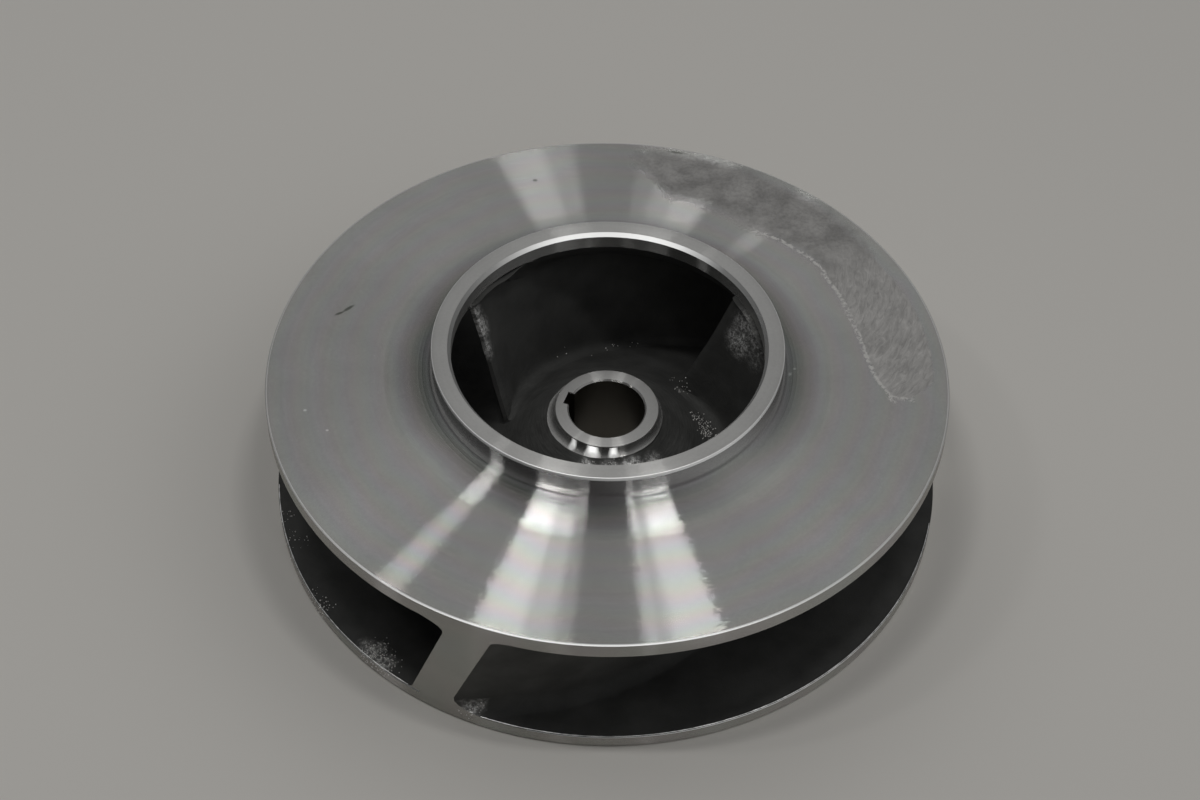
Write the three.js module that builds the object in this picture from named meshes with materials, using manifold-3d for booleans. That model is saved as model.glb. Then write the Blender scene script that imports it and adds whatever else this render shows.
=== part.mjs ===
// Closed pump impeller with three vanes: one stainless steel casting, turned all over outside
// and left as cast inside. Millimetres, +Z up along the shaft's axis, origin at the centre of
// the rear face, on which the impeller rests with its eye facing up.

import * as THREE from 'three';
import { mergeVertices } from 'three/addons/utils/BufferGeometryUtils.js';
import Module from 'manifold-3d';

const wasm = await Module();
wasm.setup();

// Driving dimensions: outside diameter and the widths read at the rim
const RIM_RADIUS = 195;
const FLOOR_AT_RIM = 8.7;
const ROOF_AT_RIM = 82.7;
const FRONT_AT_RIM = 92.05;
const RIM_CHAMFER = 1;

// Front shroud outside: a shallow cone, a hollow arc and a small fillet up to the eye ring
const CONE_INNER_RADIUS = 127.5;
const CONE_INNER_HEIGHT = 95;
const SHOULDER_ARC_RADIUS = 99;
const SHOULDER_RADIUS = 104;
const SHOULDER_HEIGHT = CONE_INNER_HEIGHT + SHOULDER_ARC_RADIUS
  - Math.sqrt(SHOULDER_ARC_RADIUS ** 2 - (CONE_INNER_RADIUS - SHOULDER_RADIUS) ** 2);
const RING_FILLET_RADIUS = 4;
const RING_FILLET_START = 250;

// Eye ring
const RING_RADIUS = 100;
const RING_TOP = 113.7;
const RING_EDGE_CHAMFER = 0.6;
const RING_MOUTH_RADIUS = 90.8;
const EYE_RADIUS = 89;
const EYE_CHAMFER_HEIGHT = 2.4;
const EYE_BORE_BOTTOM = 103;

// Hub: nose, bore for the shaft and keyway
const NOSE_RADIUS = 30.2;
const NOSE_TOP = 58.9;
const NOSE_STEP_RADIUS = 35;
const NOSE_STEP_HEIGHT = 50.5;
const NOSE_EDGE_CHAMFER = 0.5;
const BORE_RADIUS = 22.225;
const BORE_CHAMFER = 0.9;
const KEY_WIDTH = 9.5;
const KEYWAY_FROM_AXIS = 25.4;
const KEYWAY_AZIMUTH = 162;

// Inside as cast: the floor sweeps up to the hub, the roof turns up into the eye
const FLOOR_SWEEP_RADIUS = 115;
const FLOOR_SWEEP_POWER = 1.8;
const FLOOR_SWEEP_STEPS = 7;
const ROOF_TURN_RADIUS = 13.5;
const ROOF_TURN_CENTRE = { radius: 103.5, height: EYE_BORE_BOTTOM };
const ROOF_TURN_STEPS = 5;
const MACHINING_STOCK = 3;
const CAST_STEP = 1;

// Vanes: they wrap from the leading edge round to the trailing edge at the rim, clockwise seen
// from the eye, and are given on the hub side and on the front side. A share of the wrap is 0 at
// the leading edge and 1 at the rim
const VANE_COUNT = 3;
const HUB_SIDE = { leadRadius: 61, leadAzimuth: 167, trailAzimuth: 0.9 };
const FRONT_SIDE = { leadRadius: 89.5, leadAzimuth: 154, trailAzimuth: 9.5 };
const SPIRAL_LINEAR_SHARE = 0.36;
const SPIRAL_POWER = 2.3;
const LEAD_BOW_AZIMUTH = 2.3;
const LEAD_THICKNESS = 6;
const RIM_THICKNESS = 9.7;
const THICKENS_OVER = 0.4;
const NOSE_WRAP = 0.03;
const BLUNT_NOSE = 0.4;
const LEAD_FILLET = 2;
const FLOOR_FILLET = { inner: 8, innerAtRim: 3, outer: 10 };
const ROOF_FILLET = { inner: 8, outer: 4 };
const FILLET_GROWTH = 0.15;
const FILLET_MIDDLE = 0.3;
const VANE_OVERRUN = 1.06;
const STATION_POWER = 1.5;
const VANE_STATIONS = 22;
const VANE_ROWS = 9;
const LOWER_THIRD = 1 / 3;
const UPPER_THIRD = 2 / 3;
const DIRECTION_STEP = 0.001;
const ROOT_OVERLAP = 0.6;
const ROOT_DEPTH_HEIGHT = 3;
const TIP_HEIGHT_AT_LEAD = 104;
const TIP_HEIGHT = 87.5;
const TIP_SETTLES_AT = 0.3;

const TURNING_STEPS = 72;
const ARC_STEPS = 3;
const FACING_AXIS = 180;
const FACING_DOWN = 270;
const WELD_DISTANCE = 1e-4;

const CASTING_FINISH = new THREE.MeshStandardMaterial({
  color: 0x767471,
  roughness: 0.4,
  metalness: 1,
});

const radians = THREE.MathUtils.degToRad;
const mix = THREE.MathUtils.lerp;
const smooth = THREE.MathUtils.smoothstep;

// A closed geometry as a solid that can be joined and cut
function solidOf(geometry) {
  geometry.deleteAttribute('normal');
  geometry.deleteAttribute('uv');
  const merged = mergeVertices(geometry, WELD_DISTANCE);
  return new wasm.Manifold(new wasm.Mesh({
    numProp: 3,
    vertProperties: new Float32Array(merged.getAttribute('position').array),
    triVerts: new Uint32Array(merged.getIndex().array),
  }));
}

// A solid back as a geometry with flat faces
function geometryOf(solid) {
  const mesh = solid.getMesh();
  const geometry = new THREE.BufferGeometry();
  geometry.setAttribute('position', new THREE.BufferAttribute(mesh.vertProperties, 3));
  geometry.setIndex(new THREE.BufferAttribute(mesh.triVerts, 1));
  geometry.computeVertexNormals();
  return geometry;
}

// A closed outline of [radius, height] points turned about the Z axis
function turnedSolid(outline) {
  const points = [...outline, outline[0]].map(([radius, height]) => new THREE.Vector2(radius, height));
  const geometry = new THREE.LatheGeometry(points, TURNING_STEPS);
  geometry.rotateX(Math.PI / 2);
  return solidOf(geometry);
}

// Points of an arc from one angle to another in degrees, measured from straight outward
function arcPoints(centreRadius, centreHeight, radius, from, to, steps) {
  const points = [];
  for (let step = 0; step <= steps; step += 1) {
    const angle = radians(mix(from, to, step / steps));
    points.push([centreRadius + radius * Math.cos(angle), centreHeight + radius * Math.sin(angle)]);
  }
  return points;
}

// Height of the passage floor, flat near the rim and swept up to the hub
function floorHeight(radius) {
  const inward = Math.max(0, FLOOR_SWEEP_RADIUS - radius) / (FLOOR_SWEEP_RADIUS - NOSE_STEP_RADIUS);
  return FLOOR_AT_RIM + (NOSE_STEP_HEIGHT - FLOOR_AT_RIM) * inward ** FLOOR_SWEEP_POWER;
}

// Height of the passage roof, a slight cone that turns up into the eye
function roofHeight(radius) {
  const { radius: turnRadius, height: turnHeight } = ROOF_TURN_CENTRE;
  if (radius >= turnRadius) {
    const outward = (radius - turnRadius) / (RIM_RADIUS - turnRadius);
    return mix(turnHeight - ROOF_TURN_RADIUS, ROOF_AT_RIM, outward);
  }
  const inward = Math.min(turnRadius - radius, ROOF_TURN_RADIUS);
  return turnHeight - Math.sqrt(ROOF_TURN_RADIUS ** 2 - inward ** 2);
}

// Rear shroud and hub as cast, with stock to turn away
function rearCasting() {
  const outline = [
    [BORE_RADIUS - MACHINING_STOCK, -MACHINING_STOCK],
    [RIM_RADIUS + MACHINING_STOCK, -MACHINING_STOCK],
    [RIM_RADIUS + MACHINING_STOCK, FLOOR_AT_RIM],
  ];
  for (let step = 0; step <= FLOOR_SWEEP_STEPS; step += 1) {
    const radius = mix(FLOOR_SWEEP_RADIUS, NOSE_STEP_RADIUS - CAST_STEP, step / FLOOR_SWEEP_STEPS);
    outline.push([radius, floorHeight(radius)]);
  }
  outline.push([NOSE_RADIUS + CAST_STEP, NOSE_TOP + MACHINING_STOCK]);
  outline.push([BORE_RADIUS - MACHINING_STOCK, NOSE_TOP + MACHINING_STOCK]);
  return turnedSolid(outline);
}

// Front shroud and eye ring as cast, with stock to turn away
function frontCasting() {
  const { radius: turnRadius, height: turnHeight } = ROOF_TURN_CENTRE;
  const stockRadius = RIM_RADIUS + MACHINING_STOCK;
  return turnedSolid([
    [stockRadius, roofHeight(stockRadius)],
    [stockRadius, FRONT_AT_RIM + MACHINING_STOCK],
    [SHOULDER_RADIUS, SHOULDER_HEIGHT + MACHINING_STOCK],
    [RING_RADIUS + MACHINING_STOCK, RING_TOP + MACHINING_STOCK],
    [EYE_RADIUS - MACHINING_STOCK, RING_TOP + MACHINING_STOCK],
    [EYE_RADIUS - MACHINING_STOCK, turnHeight + CAST_STEP],
    ...arcPoints(turnRadius, turnHeight, ROOF_TURN_RADIUS, FACING_AXIS, FACING_DOWN, ROOF_TURN_STEPS),
  ]);
}

// Share of the way out from the leading edge to the rim at a share of the wrap
function sweepAt(wrap) {
  return SPIRAL_LINEAR_SHARE * wrap + (1 - SPIRAL_LINEAR_SHARE) * wrap ** SPIRAL_POWER;
}

// Centre line of a vane at a share of its wrap and a share of its height
function camberPoint(wrap, rise) {
  const sweep = sweepAt(wrap);
  const hubRadius = mix(HUB_SIDE.leadRadius, RIM_RADIUS, sweep);
  const frontRadius = mix(FRONT_SIDE.leadRadius, RIM_RADIUS, sweep);
  const hubAzimuth = mix(HUB_SIDE.leadAzimuth, HUB_SIDE.trailAzimuth, wrap);
  const frontAzimuth = mix(FRONT_SIDE.leadAzimuth, FRONT_SIDE.trailAzimuth, wrap);
  const bow = LEAD_BOW_AZIMUTH * Math.sin(Math.PI * rise) * Math.max(0, 1 - wrap);
  const azimuth = radians(mix(hubAzimuth, frontAzimuth, rise) - bow);
  const radius = mix(hubRadius, frontRadius, rise);
  return new THREE.Vector2(radius * Math.cos(azimuth), radius * Math.sin(azimuth));
}

// One point of a vane's face: side 1 faces the axis and side -1 faces outward
function vanePoint(station, row, side) {
  const wrap = VANE_OVERRUN * (station / VANE_STATIONS) ** STATION_POWER;
  const tip = mix(TIP_HEIGHT_AT_LEAD, TIP_HEIGHT, smooth(wrap, 0, TIP_SETTLES_AT));
  const hubHeight = floorHeight(mix(HUB_SIDE.leadRadius, RIM_RADIUS, sweepAt(wrap)));
  const growth = smooth(wrap, 0, FILLET_GROWTH);
  const fullFloorFillet = side > 0
    ? mix(FLOOR_FILLET.inner, FLOOR_FILLET.innerAtRim, wrap)
    : FLOOR_FILLET.outer;
  const floorFillet = mix(LEAD_FILLET, fullFloorFillet, growth);
  const roofFillet = mix(LEAD_FILLET, side > 0 ? ROOF_FILLET.inner : ROOF_FILLET.outer, growth);
  const nose = Math.max(BLUNT_NOSE, Math.sqrt(1 - Math.max(0, 1 - wrap / NOSE_WRAP) ** 2));
  const thickness = mix(LEAD_THICKNESS, RIM_THICKNESS, smooth(wrap, 0, THICKENS_OVER));
  const halfThickness = (thickness / 2) * nose;

  // Point at a height above the floor or below the roof, set out by half the thickness
  // and by what the fillet adds there
  const facePoint = (height, spread) => {
    const rise = THREE.MathUtils.clamp((height - hubHeight) / (tip - hubHeight), 0, 1);
    const here = camberPoint(wrap, rise);
    const ahead = camberPoint(wrap + DIRECTION_STEP, rise).sub(here).normalize();
    const toAxis = new THREE.Vector2(ahead.y, -ahead.x);
    return here.addScaledVector(toAxis, side * (halfThickness + spread));
  };
  const filletSpread = (share) => 1 - Math.sqrt(1 - (1 - share) ** 2);
  const onFloor = (share, lift) => {
    const point = facePoint(hubHeight + share * floorFillet, floorFillet * filletSpread(share));
    return new THREE.Vector3(point.x, point.y, floorHeight(point.length()) + share * floorFillet + lift);
  };
  const roofNear = roofHeight(facePoint(tip, 0).length());
  const onRoof = (share, lift) => {
    const point = facePoint(roofNear - share * roofFillet, roofFillet * filletSpread(share));
    const roof = roofHeight(Math.max(point.length(), EYE_RADIUS + CAST_STEP));
    return new THREE.Vector3(point.x, point.y, roof - share * roofFillet + lift);
  };
  const low = onFloor(1, 0);
  const high = onRoof(1, 0);
  const between = (share) => {
    const height = mix(low.z, high.z, share);
    const point = facePoint(height, 0);
    return new THREE.Vector3(point.x, point.y, height);
  };
  const foot = onFloor(0, -ROOT_OVERLAP);
  const head = onRoof(0, ROOT_OVERLAP);
  const rows = [
    () => foot.setZ(ROOT_DEPTH_HEIGHT),
    () => foot,
    () => onFloor(FILLET_MIDDLE, 0),
    () => low,
    () => between(LOWER_THIRD),
    () => between(UPPER_THIRD),
    () => high,
    () => onRoof(FILLET_MIDDLE, 0),
    () => head,
    () => head.setZ(Math.max(tip, head.z + ROOT_OVERLAP)),
  ];
  return rows[row]();
}

// One vane: a block of stations and rows bent onto the vane's faces
function vaneCasting(index) {
  const block = new THREE.BoxGeometry(VANE_STATIONS, VANE_ROWS, 2, VANE_STATIONS, VANE_ROWS, 1);
  block.translate(VANE_STATIONS / 2, VANE_ROWS / 2, 0);
  const corners = block.getAttribute('position');
  for (let i = 0; i < corners.count; i += 1) {
    const station = Math.round(corners.getX(i));
    const row = Math.round(corners.getY(i));
    const point = vanePoint(station, row, Math.sign(corners.getZ(i)));
    corners.setXYZ(i, point.x, point.y, point.z);
  }
  block.rotateZ((-2 * Math.PI * index) / VANE_COUNT);
  return solidOf(block);
}

// What the lathe leaves: rear face, both rims, cone, eye ring, eye bore, nose and shaft bore
function turnedEnvelope() {
  const shoulderAngle = THREE.MathUtils.radToDeg(
    Math.asin((CONE_INNER_RADIUS - SHOULDER_RADIUS) / SHOULDER_ARC_RADIUS),
  );
  const shoulderArc = arcPoints(
    CONE_INNER_RADIUS,
    CONE_INNER_HEIGHT + SHOULDER_ARC_RADIUS,
    SHOULDER_ARC_RADIUS,
    FACING_DOWN,
    FACING_DOWN - shoulderAngle,
    ARC_STEPS,
  );
  const ringFillet = arcPoints(
    SHOULDER_RADIUS,
    SHOULDER_HEIGHT + RING_FILLET_RADIUS,
    RING_FILLET_RADIUS,
    RING_FILLET_START,
    FACING_AXIS,
    ARC_STEPS,
  );
  return turnedSolid([
    [BORE_RADIUS + BORE_CHAMFER, 0],
    [RIM_RADIUS - RIM_CHAMFER, 0],
    [RIM_RADIUS, RIM_CHAMFER],
    [RIM_RADIUS, FRONT_AT_RIM - RIM_CHAMFER],
    [RIM_RADIUS - RIM_CHAMFER, FRONT_AT_RIM],
    ...shoulderArc,
    ...ringFillet,
    [RING_RADIUS, RING_TOP - RING_EDGE_CHAMFER],
    [RING_RADIUS - RING_EDGE_CHAMFER, RING_TOP],
    [RING_MOUTH_RADIUS, RING_TOP],
    [EYE_RADIUS, RING_TOP - EYE_CHAMFER_HEIGHT],
    [EYE_RADIUS, EYE_BORE_BOTTOM],
    [NOSE_STEP_RADIUS, EYE_BORE_BOTTOM],
    [NOSE_STEP_RADIUS, NOSE_STEP_HEIGHT],
    [NOSE_RADIUS, NOSE_STEP_HEIGHT],
    [NOSE_RADIUS, NOSE_TOP - NOSE_EDGE_CHAMFER],
    [NOSE_RADIUS - NOSE_EDGE_CHAMFER, NOSE_TOP],
    [BORE_RADIUS + BORE_CHAMFER, NOSE_TOP],
    [BORE_RADIUS, NOSE_TOP - BORE_CHAMFER],
    [BORE_RADIUS, BORE_CHAMFER],
  ]);
}

// Keyway along the whole bore
function keywayCut() {
  const length = NOSE_TOP + 2 * MACHINING_STOCK;
  const cut = new THREE.BoxGeometry(KEYWAY_FROM_AXIS, KEY_WIDTH, length);
  cut.translate(KEYWAY_FROM_AXIS / 2, 0, NOSE_TOP / 2);
  cut.rotateZ(radians(KEYWAY_AZIMUTH));
  return solidOf(cut);
}

function impellerCasting() {
  let cast = rearCasting().add(frontCasting());
  for (let index = 0; index < VANE_COUNT; index += 1) {
    cast = cast.add(vaneCasting(index));
  }
  const finished = cast.intersect(turnedEnvelope()).subtract(keywayCut());
  const mesh = new THREE.Mesh(geometryOf(finished), CASTING_FINISH);
  mesh.name = 'impeller_casting';
  return mesh;
}

const impeller = new THREE.Group();
impeller.add(impellerCasting());

export default impeller;
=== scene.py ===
"""Closed pump impeller: one stainless casting, turned outside and left as cast inside."""

import math
from functools import partial
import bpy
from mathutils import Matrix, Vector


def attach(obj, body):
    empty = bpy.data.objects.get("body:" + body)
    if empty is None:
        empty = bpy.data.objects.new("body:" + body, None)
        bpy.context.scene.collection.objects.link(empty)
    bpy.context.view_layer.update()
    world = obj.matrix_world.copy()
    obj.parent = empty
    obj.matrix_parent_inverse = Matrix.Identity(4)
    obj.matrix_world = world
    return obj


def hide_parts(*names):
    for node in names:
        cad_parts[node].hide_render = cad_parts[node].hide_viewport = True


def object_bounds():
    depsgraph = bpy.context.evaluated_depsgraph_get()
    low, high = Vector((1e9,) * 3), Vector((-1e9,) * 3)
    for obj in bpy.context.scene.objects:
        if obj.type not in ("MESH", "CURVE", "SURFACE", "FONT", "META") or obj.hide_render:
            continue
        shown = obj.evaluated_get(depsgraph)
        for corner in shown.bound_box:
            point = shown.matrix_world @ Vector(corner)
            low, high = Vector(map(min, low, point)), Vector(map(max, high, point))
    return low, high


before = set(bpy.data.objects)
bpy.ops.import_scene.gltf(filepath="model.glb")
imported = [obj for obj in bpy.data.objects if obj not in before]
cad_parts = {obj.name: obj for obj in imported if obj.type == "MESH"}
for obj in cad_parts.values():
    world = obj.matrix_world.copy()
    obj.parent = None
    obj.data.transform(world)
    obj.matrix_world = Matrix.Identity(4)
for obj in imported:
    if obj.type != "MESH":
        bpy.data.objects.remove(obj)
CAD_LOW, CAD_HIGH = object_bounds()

from types import SimpleNamespace

import bpy
import numpy as np

bl_info = {
    "name": "Closed pump impeller",
    "version": (1, 0, 0),
    "blender": (4, 5, 0),
    "location": "3D View > Sidebar > Impeller",
    "description": "Builds a closed centrifugal pump impeller with three vanes",
    "category": "Add Mesh",
}

CASTING_NODE = "impeller_casting"
BODY = "root"

# Sizes in millimetres, along the outlines that the lathe and the mould give
MM = 0.001
RIM_RADIUS = 195.0
FLOOR_AT_RIM = 8.7
ROOF_AT_RIM = 82.7
FRONT_AT_RIM = 92.05
RIM_CHAMFER = 1.0
CONE_INNER_RADIUS = 127.5
CONE_INNER_HEIGHT = 95.0
SHOULDER_ARC_RADIUS = 99.0
SHOULDER_RADIUS = 104.0
RING_FILLET_RADIUS = 4.0
RING_RADIUS = 100.0
RING_EDGE = 0.6
RING_MOUTH_RADIUS = 90.8
EYE_RADIUS = 89.0
EYE_CHAMFER_HEIGHT = 2.4
EYE_BORE_BOTTOM = 103.0
NOSE_RADIUS = 30.2
NOSE_TOP = 58.9
NOSE_STEP_RADIUS = 35.0
NOSE_STEP_HEIGHT = 50.5
NOSE_EDGE = 0.5
NOSE_FILLET = 4.8
NOSE_FILLET_BOTTOM = 52.0
NOSE_STOCK_RADIUS = 33.0
HUB_LEAN = 1.4
HUB_LEAN_AZIMUTH = -175.0
HUB_LEAN_REACH = 15.0
BORE_RADIUS = 22.225
BORE_CHAMFER = 0.9
KEY_WIDTH = 9.5
KEYWAY_FROM_AXIS = 25.4
KEYWAY_AZIMUTH = 162.0
FLOOR_SWEEP_RADIUS = 115.0
FLOOR_SWEEP_POWER = 1.8
ROOF_TURN_RADIUS = 13.5
ROOF_TURN_CENTRE = 103.5
MACHINING_STOCK = 3.0
CAST_STEP = 1.0

# Vanes: shares of the wrap run from 0 at the leading edge to 1 at the rim
HUB_LEAD_RADIUS = 61.0
HUB_LEAD_AZIMUTH = 167.0
HUB_TRAIL_AZIMUTH = 0.9
FRONT_LEAD_RADIUS = 89.5
FRONT_LEAD_AZIMUTH = 154.0
FRONT_TRAIL_AZIMUTH = 9.5
SPIRAL_LINEAR_SHARE = 0.36
SPIRAL_POWER = 2.3
LEAD_BOW_AZIMUTH = 2.3
LEAD_THICKNESS = 6.0
RIM_THICKNESS = 9.7
THICKENS_OVER = 0.4
NOSE_WRAP = 0.03
BLUNT_NOSE = 0.4
LEAD_FILLET = 2.0
FLOOR_FILLET_INNER = 8.0
FLOOR_FILLET_AT_RIM = 3.0
FLOOR_FILLET_OUTER = 10.0
ROOF_FILLET_INNER = 8.0
ROOF_FILLET_OUTER = 4.0
FILLET_GROWTH = 0.15
VANE_OVERRUN = 1.06
ROOT_DEPTH_HEIGHT = 3.0
ROOT_OVERLAP = 0.6
TIP_AT_LEAD = 104.0
TIP_AFTER = 87.5
TIP_SETTLES_AT = 0.3
SLOPE_STEP = 0.001
VANE_STATIONS = 104
STATION_POWER = 1.25
FILLET_ROWS = 5
WALL_ROWS = 20

# How fine the meshes are, millimetres along an outline
TURNED_SPACING = 7.0
FRONT_FACE_SPACING = 2.2
CAST_SPACING = 2.9
SHARP_ANGLE = math.radians(28)
PATH_RADIUS = 100.0
# The skin's unevenness is this many times the noise, and fades out at the trimmed rims
RELIEF_GAIN = 4.0
RELIEF_ENDS = (186.0, 193.0)

# Hand-ground patch on the front face: azimuth, inner radius, outer radius
GROUND_PATCH = (
    (-7, 163, 172), (-5, 158, 177), (-2, 153, 186), (5, 148.5, 187), (16, 147.5, 187),
    (29, 149, 184), (36, 151.5, 188), (45, 148.5, 191), (54, 143.5, 190), (68, 148.5, 192),
    (76, 148, 192), (82, 166, 190), (85, 174, 184),
)
GROUND_DEPTH = 0.15
# The depth is reached between these distances from the patch's outline
GROUND_EDGE = (1, 4.5)
# The attribute runs from -1 to 1 between this far outside the outline and as far inside
GROUND_REACH = 10
# Off the front face, the distance inside the outline is taken as this
GROUND_NOWHERE = -20
# A low lip stands along the outline, down to this far outside it
GROUND_LIP = 0.05
GROUND_LIP_HALF_WIDTH = 1.4
GROUND_LIP_OUTSIDE = -4
# Only the part ground last is bright, and it and the lip fade out between these azimuths
GROUND_LAST = (40, 27)
GROUND_LIP_END = (58, 50)

# Two fine tool marks in the hollow of the front face
TOOL_MARK_RADII = (105.6, 108.2)
TOOL_MARK_DEPTH = 0.05
TOOL_MARK_HALF_WIDTH = 0.35

# Where the casting skin is rubbed or rough and bright, partly real wear and partly painted light on
# flanks that face the lamps: x, y, z, reach, share
RUBBED_AND_LIT_SPOTS = (
    (-127, -141, 9, 7, 1.0), (-121, -148, 9, 6, 1.0), (-132, -136, 9, 4, 0.7),
    (80, 33, 94, 11, 0.55), (76, 31, 84, 11, 0.5), (84, 22, 94, 10, 0.5), (81, 16, 84, 9, 0.35),
    (-81, 36, 95, 9, 0.6), (-75, 35, 87, 8, 0.55), (-71, 30, 74, 6, 0.4),
    (-12, -38, 48, 6, 0.8), (2, -40, 47, 7, 0.9), (16, -37, 47, 8, 1.0), (29, -30, 46, 7, 0.6),
    (-71, -178, 12, 6, 0.8),
)
# Where grit sticks to the skin: x, y, z, reach, share
GRIT_SPOTS = (
    (-27, 77, 24, 6, 0.05), (-13, 83, 18, 7, 0.06), (4, 93, 15, 5, 0.08), (15, 96, 13, 4, 0.1),
    (42, 55, 24, 6, 0.12), (46, 42, 33, 6, 0.2), (54, 18, 32, 6, 0.5), (58, 13, 30, 6, 0.8),
    (59, 8, 29, 7, 0.9), (64, 3, 27, 7, 0.3), (-10, -38, 48, 6, 0.4), (4, -39, 47, 7, 0.6),
    (16, -37, 47, 6, 0.5), (-127, -141, 9, 8, 0.8), (-121, -148, 9, 7, 0.8),
    (-188, -45, 9, 6, 0.25), (-178, -60, 9, 8, 0.10), (-184, -68, 9, 8, 0.08),
    (-71, -178, 10, 5, 0.5), (-160, -110, 9, 6, 0.5), (-165, -101, 9, 5, 0.3),
)
# A spot fades out between these shares of its reach
SPOT_FADE = (1.3, 0.3)
GRAINS_PER_SQUARE_METRE = 9e5
GRAIN_SMALLEST = 0.14
GRAIN_LARGEST = 0.52
GRAIN_SEED = 7

# Burr on the rear rim's upper edge: degrees round the axis, millimetres, and shares of its width
BURR_AZIMUTHS = (-174.0, -12.0)
BURR_STEP = 0.25
BURR_RADIUS = 194.45
BURR_THICKNESS = 0.38
BURR_UNEVENNESS = 0.12
BURR_WANDER = 2.381
BURR_SWELL = 3.846
BURR_WIDTHS = (0.5, 1.2)
# Where the edge under it is bare: middle and half reach, degrees round the axis
BURR_REACHES = ((-146.5, 25.5), (-56, 46))

# Zones of the turned surface: how close counts as on a face, and a length beyond everything
NEAR = 0.05
FAR = 1000.0
# How far the filed and lit, the burred and the highlighted zones reach from their edges
FILED_AND_LIT_WIDTH = 1.2
FILED_AND_LIT_DEPTH = 0.6
REAR_EDGE_WIDTH = 0.3
REAR_EDGE_HALF_HEIGHT = 0.7
NOSE_HIGHLIGHT_BELOW_TOP = 0.9
KEYWAY_MARGIN = 2.0
# Filed share of the rim and of the mouth, most where lamplight catches them, partly painted highlight:
# from one y to another, and the share at each
FILED_AND_LIT_RIM = (-110, -180, 0.38, 0.85)
FILED_AND_LIT_MOUTH = (60, 80, 0.20, 0.72)
FILED_AND_LIT_RING = 0.8
# The hollow starts between the first two radii, and is deep from the second two inward
HOLLOW_STARTS = (128.2, 127.0)
HOLLOW_DEEPENS = (129.0, 120.0)
# How the hollow, the fillet and the ring lean: from one radius or height to another, slopes there
FILLET_LEANS = (101.5, 104.0, 0.0, 0.31)
HOLLOW_LEANS = (104.0, 114.0, 0.31, 0.22)
RING_LEAN_FADES = (100.1, 101.5, 1.0, 0.0)
RING_LEANS = (99.0, 112.0, -1.50, -0.85)
# Painted shade in the hollow, which mirrors darker surroundings: from one radius to another, and the
# share lost at each
HOLLOW_PAINTED_SHADE = (105.5, 124.0, 0.38, 0.0)

# Patterns of the turned steel: name, what it runs along, width, detail and roughness.
# The tool's real grooves are about 0.2 mm apart: grooves and lines are drawn coarser, to show.
TURNED_PATTERNS = (
    ("rings", "groove", 5.0, 3.0, 0.6), ("stains", "place", 38.0, 4.0, 0.6),
    ("specks", "place", 1.6, 2.0, 0.5), ("grooves", "groove", 1.0, 2.0, 0.6),
    ("lines", "groove", 1.3, 3.0, 0.7), ("pale_clouds", "place", 45.0, 1.0, 0.5),
    ("ragged", "place", 4.0, 3.0, 0.6), ("ground_specks", "place", 2.2, 4.0, 0.65),
    ("ground_clouds", "place", 16.0, 3.0, 0.55),
)
# The same of the casting skin. The sand's real grain is about 0.3 mm: it is drawn coarser, to show.
SKIN_PATTERNS = (
    ("clouds", "place", 25.0, 4.0, 0.55), ("grain", "place", 0.9, 4.0, 0.6),
    ("coarse", "place", 2.4, 3.0, 0.7),
)
# Chatter that the tool left, and swirls that the mould left on the hub
CHATTER_WIDTH = 1.1
CHATTERS_PER_RADIAN = 42.0
SWIRL_WIDTH = 0.9
SWIRL_HEIGHT = 1.2
SWIRLS_PER_RADIAN = 5.0
# Shades: from one value of a pattern to another, and how bright, or how rubbed and lit, at each
RING_SHADES = (0.3, 0.7, 0.97, 1.03)
STAIN_SHADES = (0.35, 0.7, 0.035, -0.05)
SPECK_SHADES = (0.3, 0.7, -0.03, 0.03)
STROKE_SHADES = (0.32, 0.70, 0.84, 1.24)
BRIGHT_CLOUD_SHADES = (0.3, 0.7, 0.88, 1.10)
DULL_SPECK_SHADES = (0.36, 0.6, 0.84, 1.03)
DULL_CLOUD_SHADES = (0.38, 0.62, 0.70, 1.00)
LIP_SHADES = (0.35, 0.6, 0.2, 1.2)
SKIN_SHADES = (0.35, 0.68, 0.78, 1.2)
SWIRL_SHADES = (0.35, 0.7, 0.0, 0.5)
RUBBED_AND_LIT_SHADES = (0.42, 0.62, 0.15, 1.0)
BARE_AND_LIT_SHADES = (0.45, 0.60, 0.15, 0.85)
# The swirl is on the hub only: it fades in between these radii and heights
SWIRL_RADII = (85.0, 50.0)
SWIRL_HEIGHTS = (60.0, 50.0)
# Slopes of the grooves outside the hollow and in it, and of the chatter
GROOVE_SLOPES = (0.10, 0.05)
CHATTER_SLOPE = 0.045
# Depth of the lines, and roughness and share of the streaks, outside the hollow and deep in it
LINE_DEPTHS = (0.05, 0.08)
STREAK_ROUGHNESS = (0.205, 0.160)
STREAK_SHARES = (0.75, 0.90)
STREAK_SHARE_FACED = 0.25
STREAK_ANISOTROPY = 0.9
STREAK_SPREAD_AT_EDGES = 0.55
SATIN_ROUGHNESS = 0.42
SATIN_ANISOTROPY = 0.8
# Pale colours: how far the colour turns along the radius and by its clouds, how deep it swings
PASTEL_PER_MM = 0.370
PASTEL_CLOUD_TURN = 8.0
PASTEL_SHIFTS = (0.0, 2.1, 4.2)
PASTEL_DEPTH = 0.32
GLINT_SHARE = 0.06
GLINT_ROUGHNESS = 0.178
GLINT_ANISOTROPY = 0.84
GLINT_LEANS = (108.0, 127.5, 0.0, 0.36)

# Marks fade at their edge, and reach through every height
MARK_EDGE = (0.55, 1.15)
MARK_HEIGHT = 1e6
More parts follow.
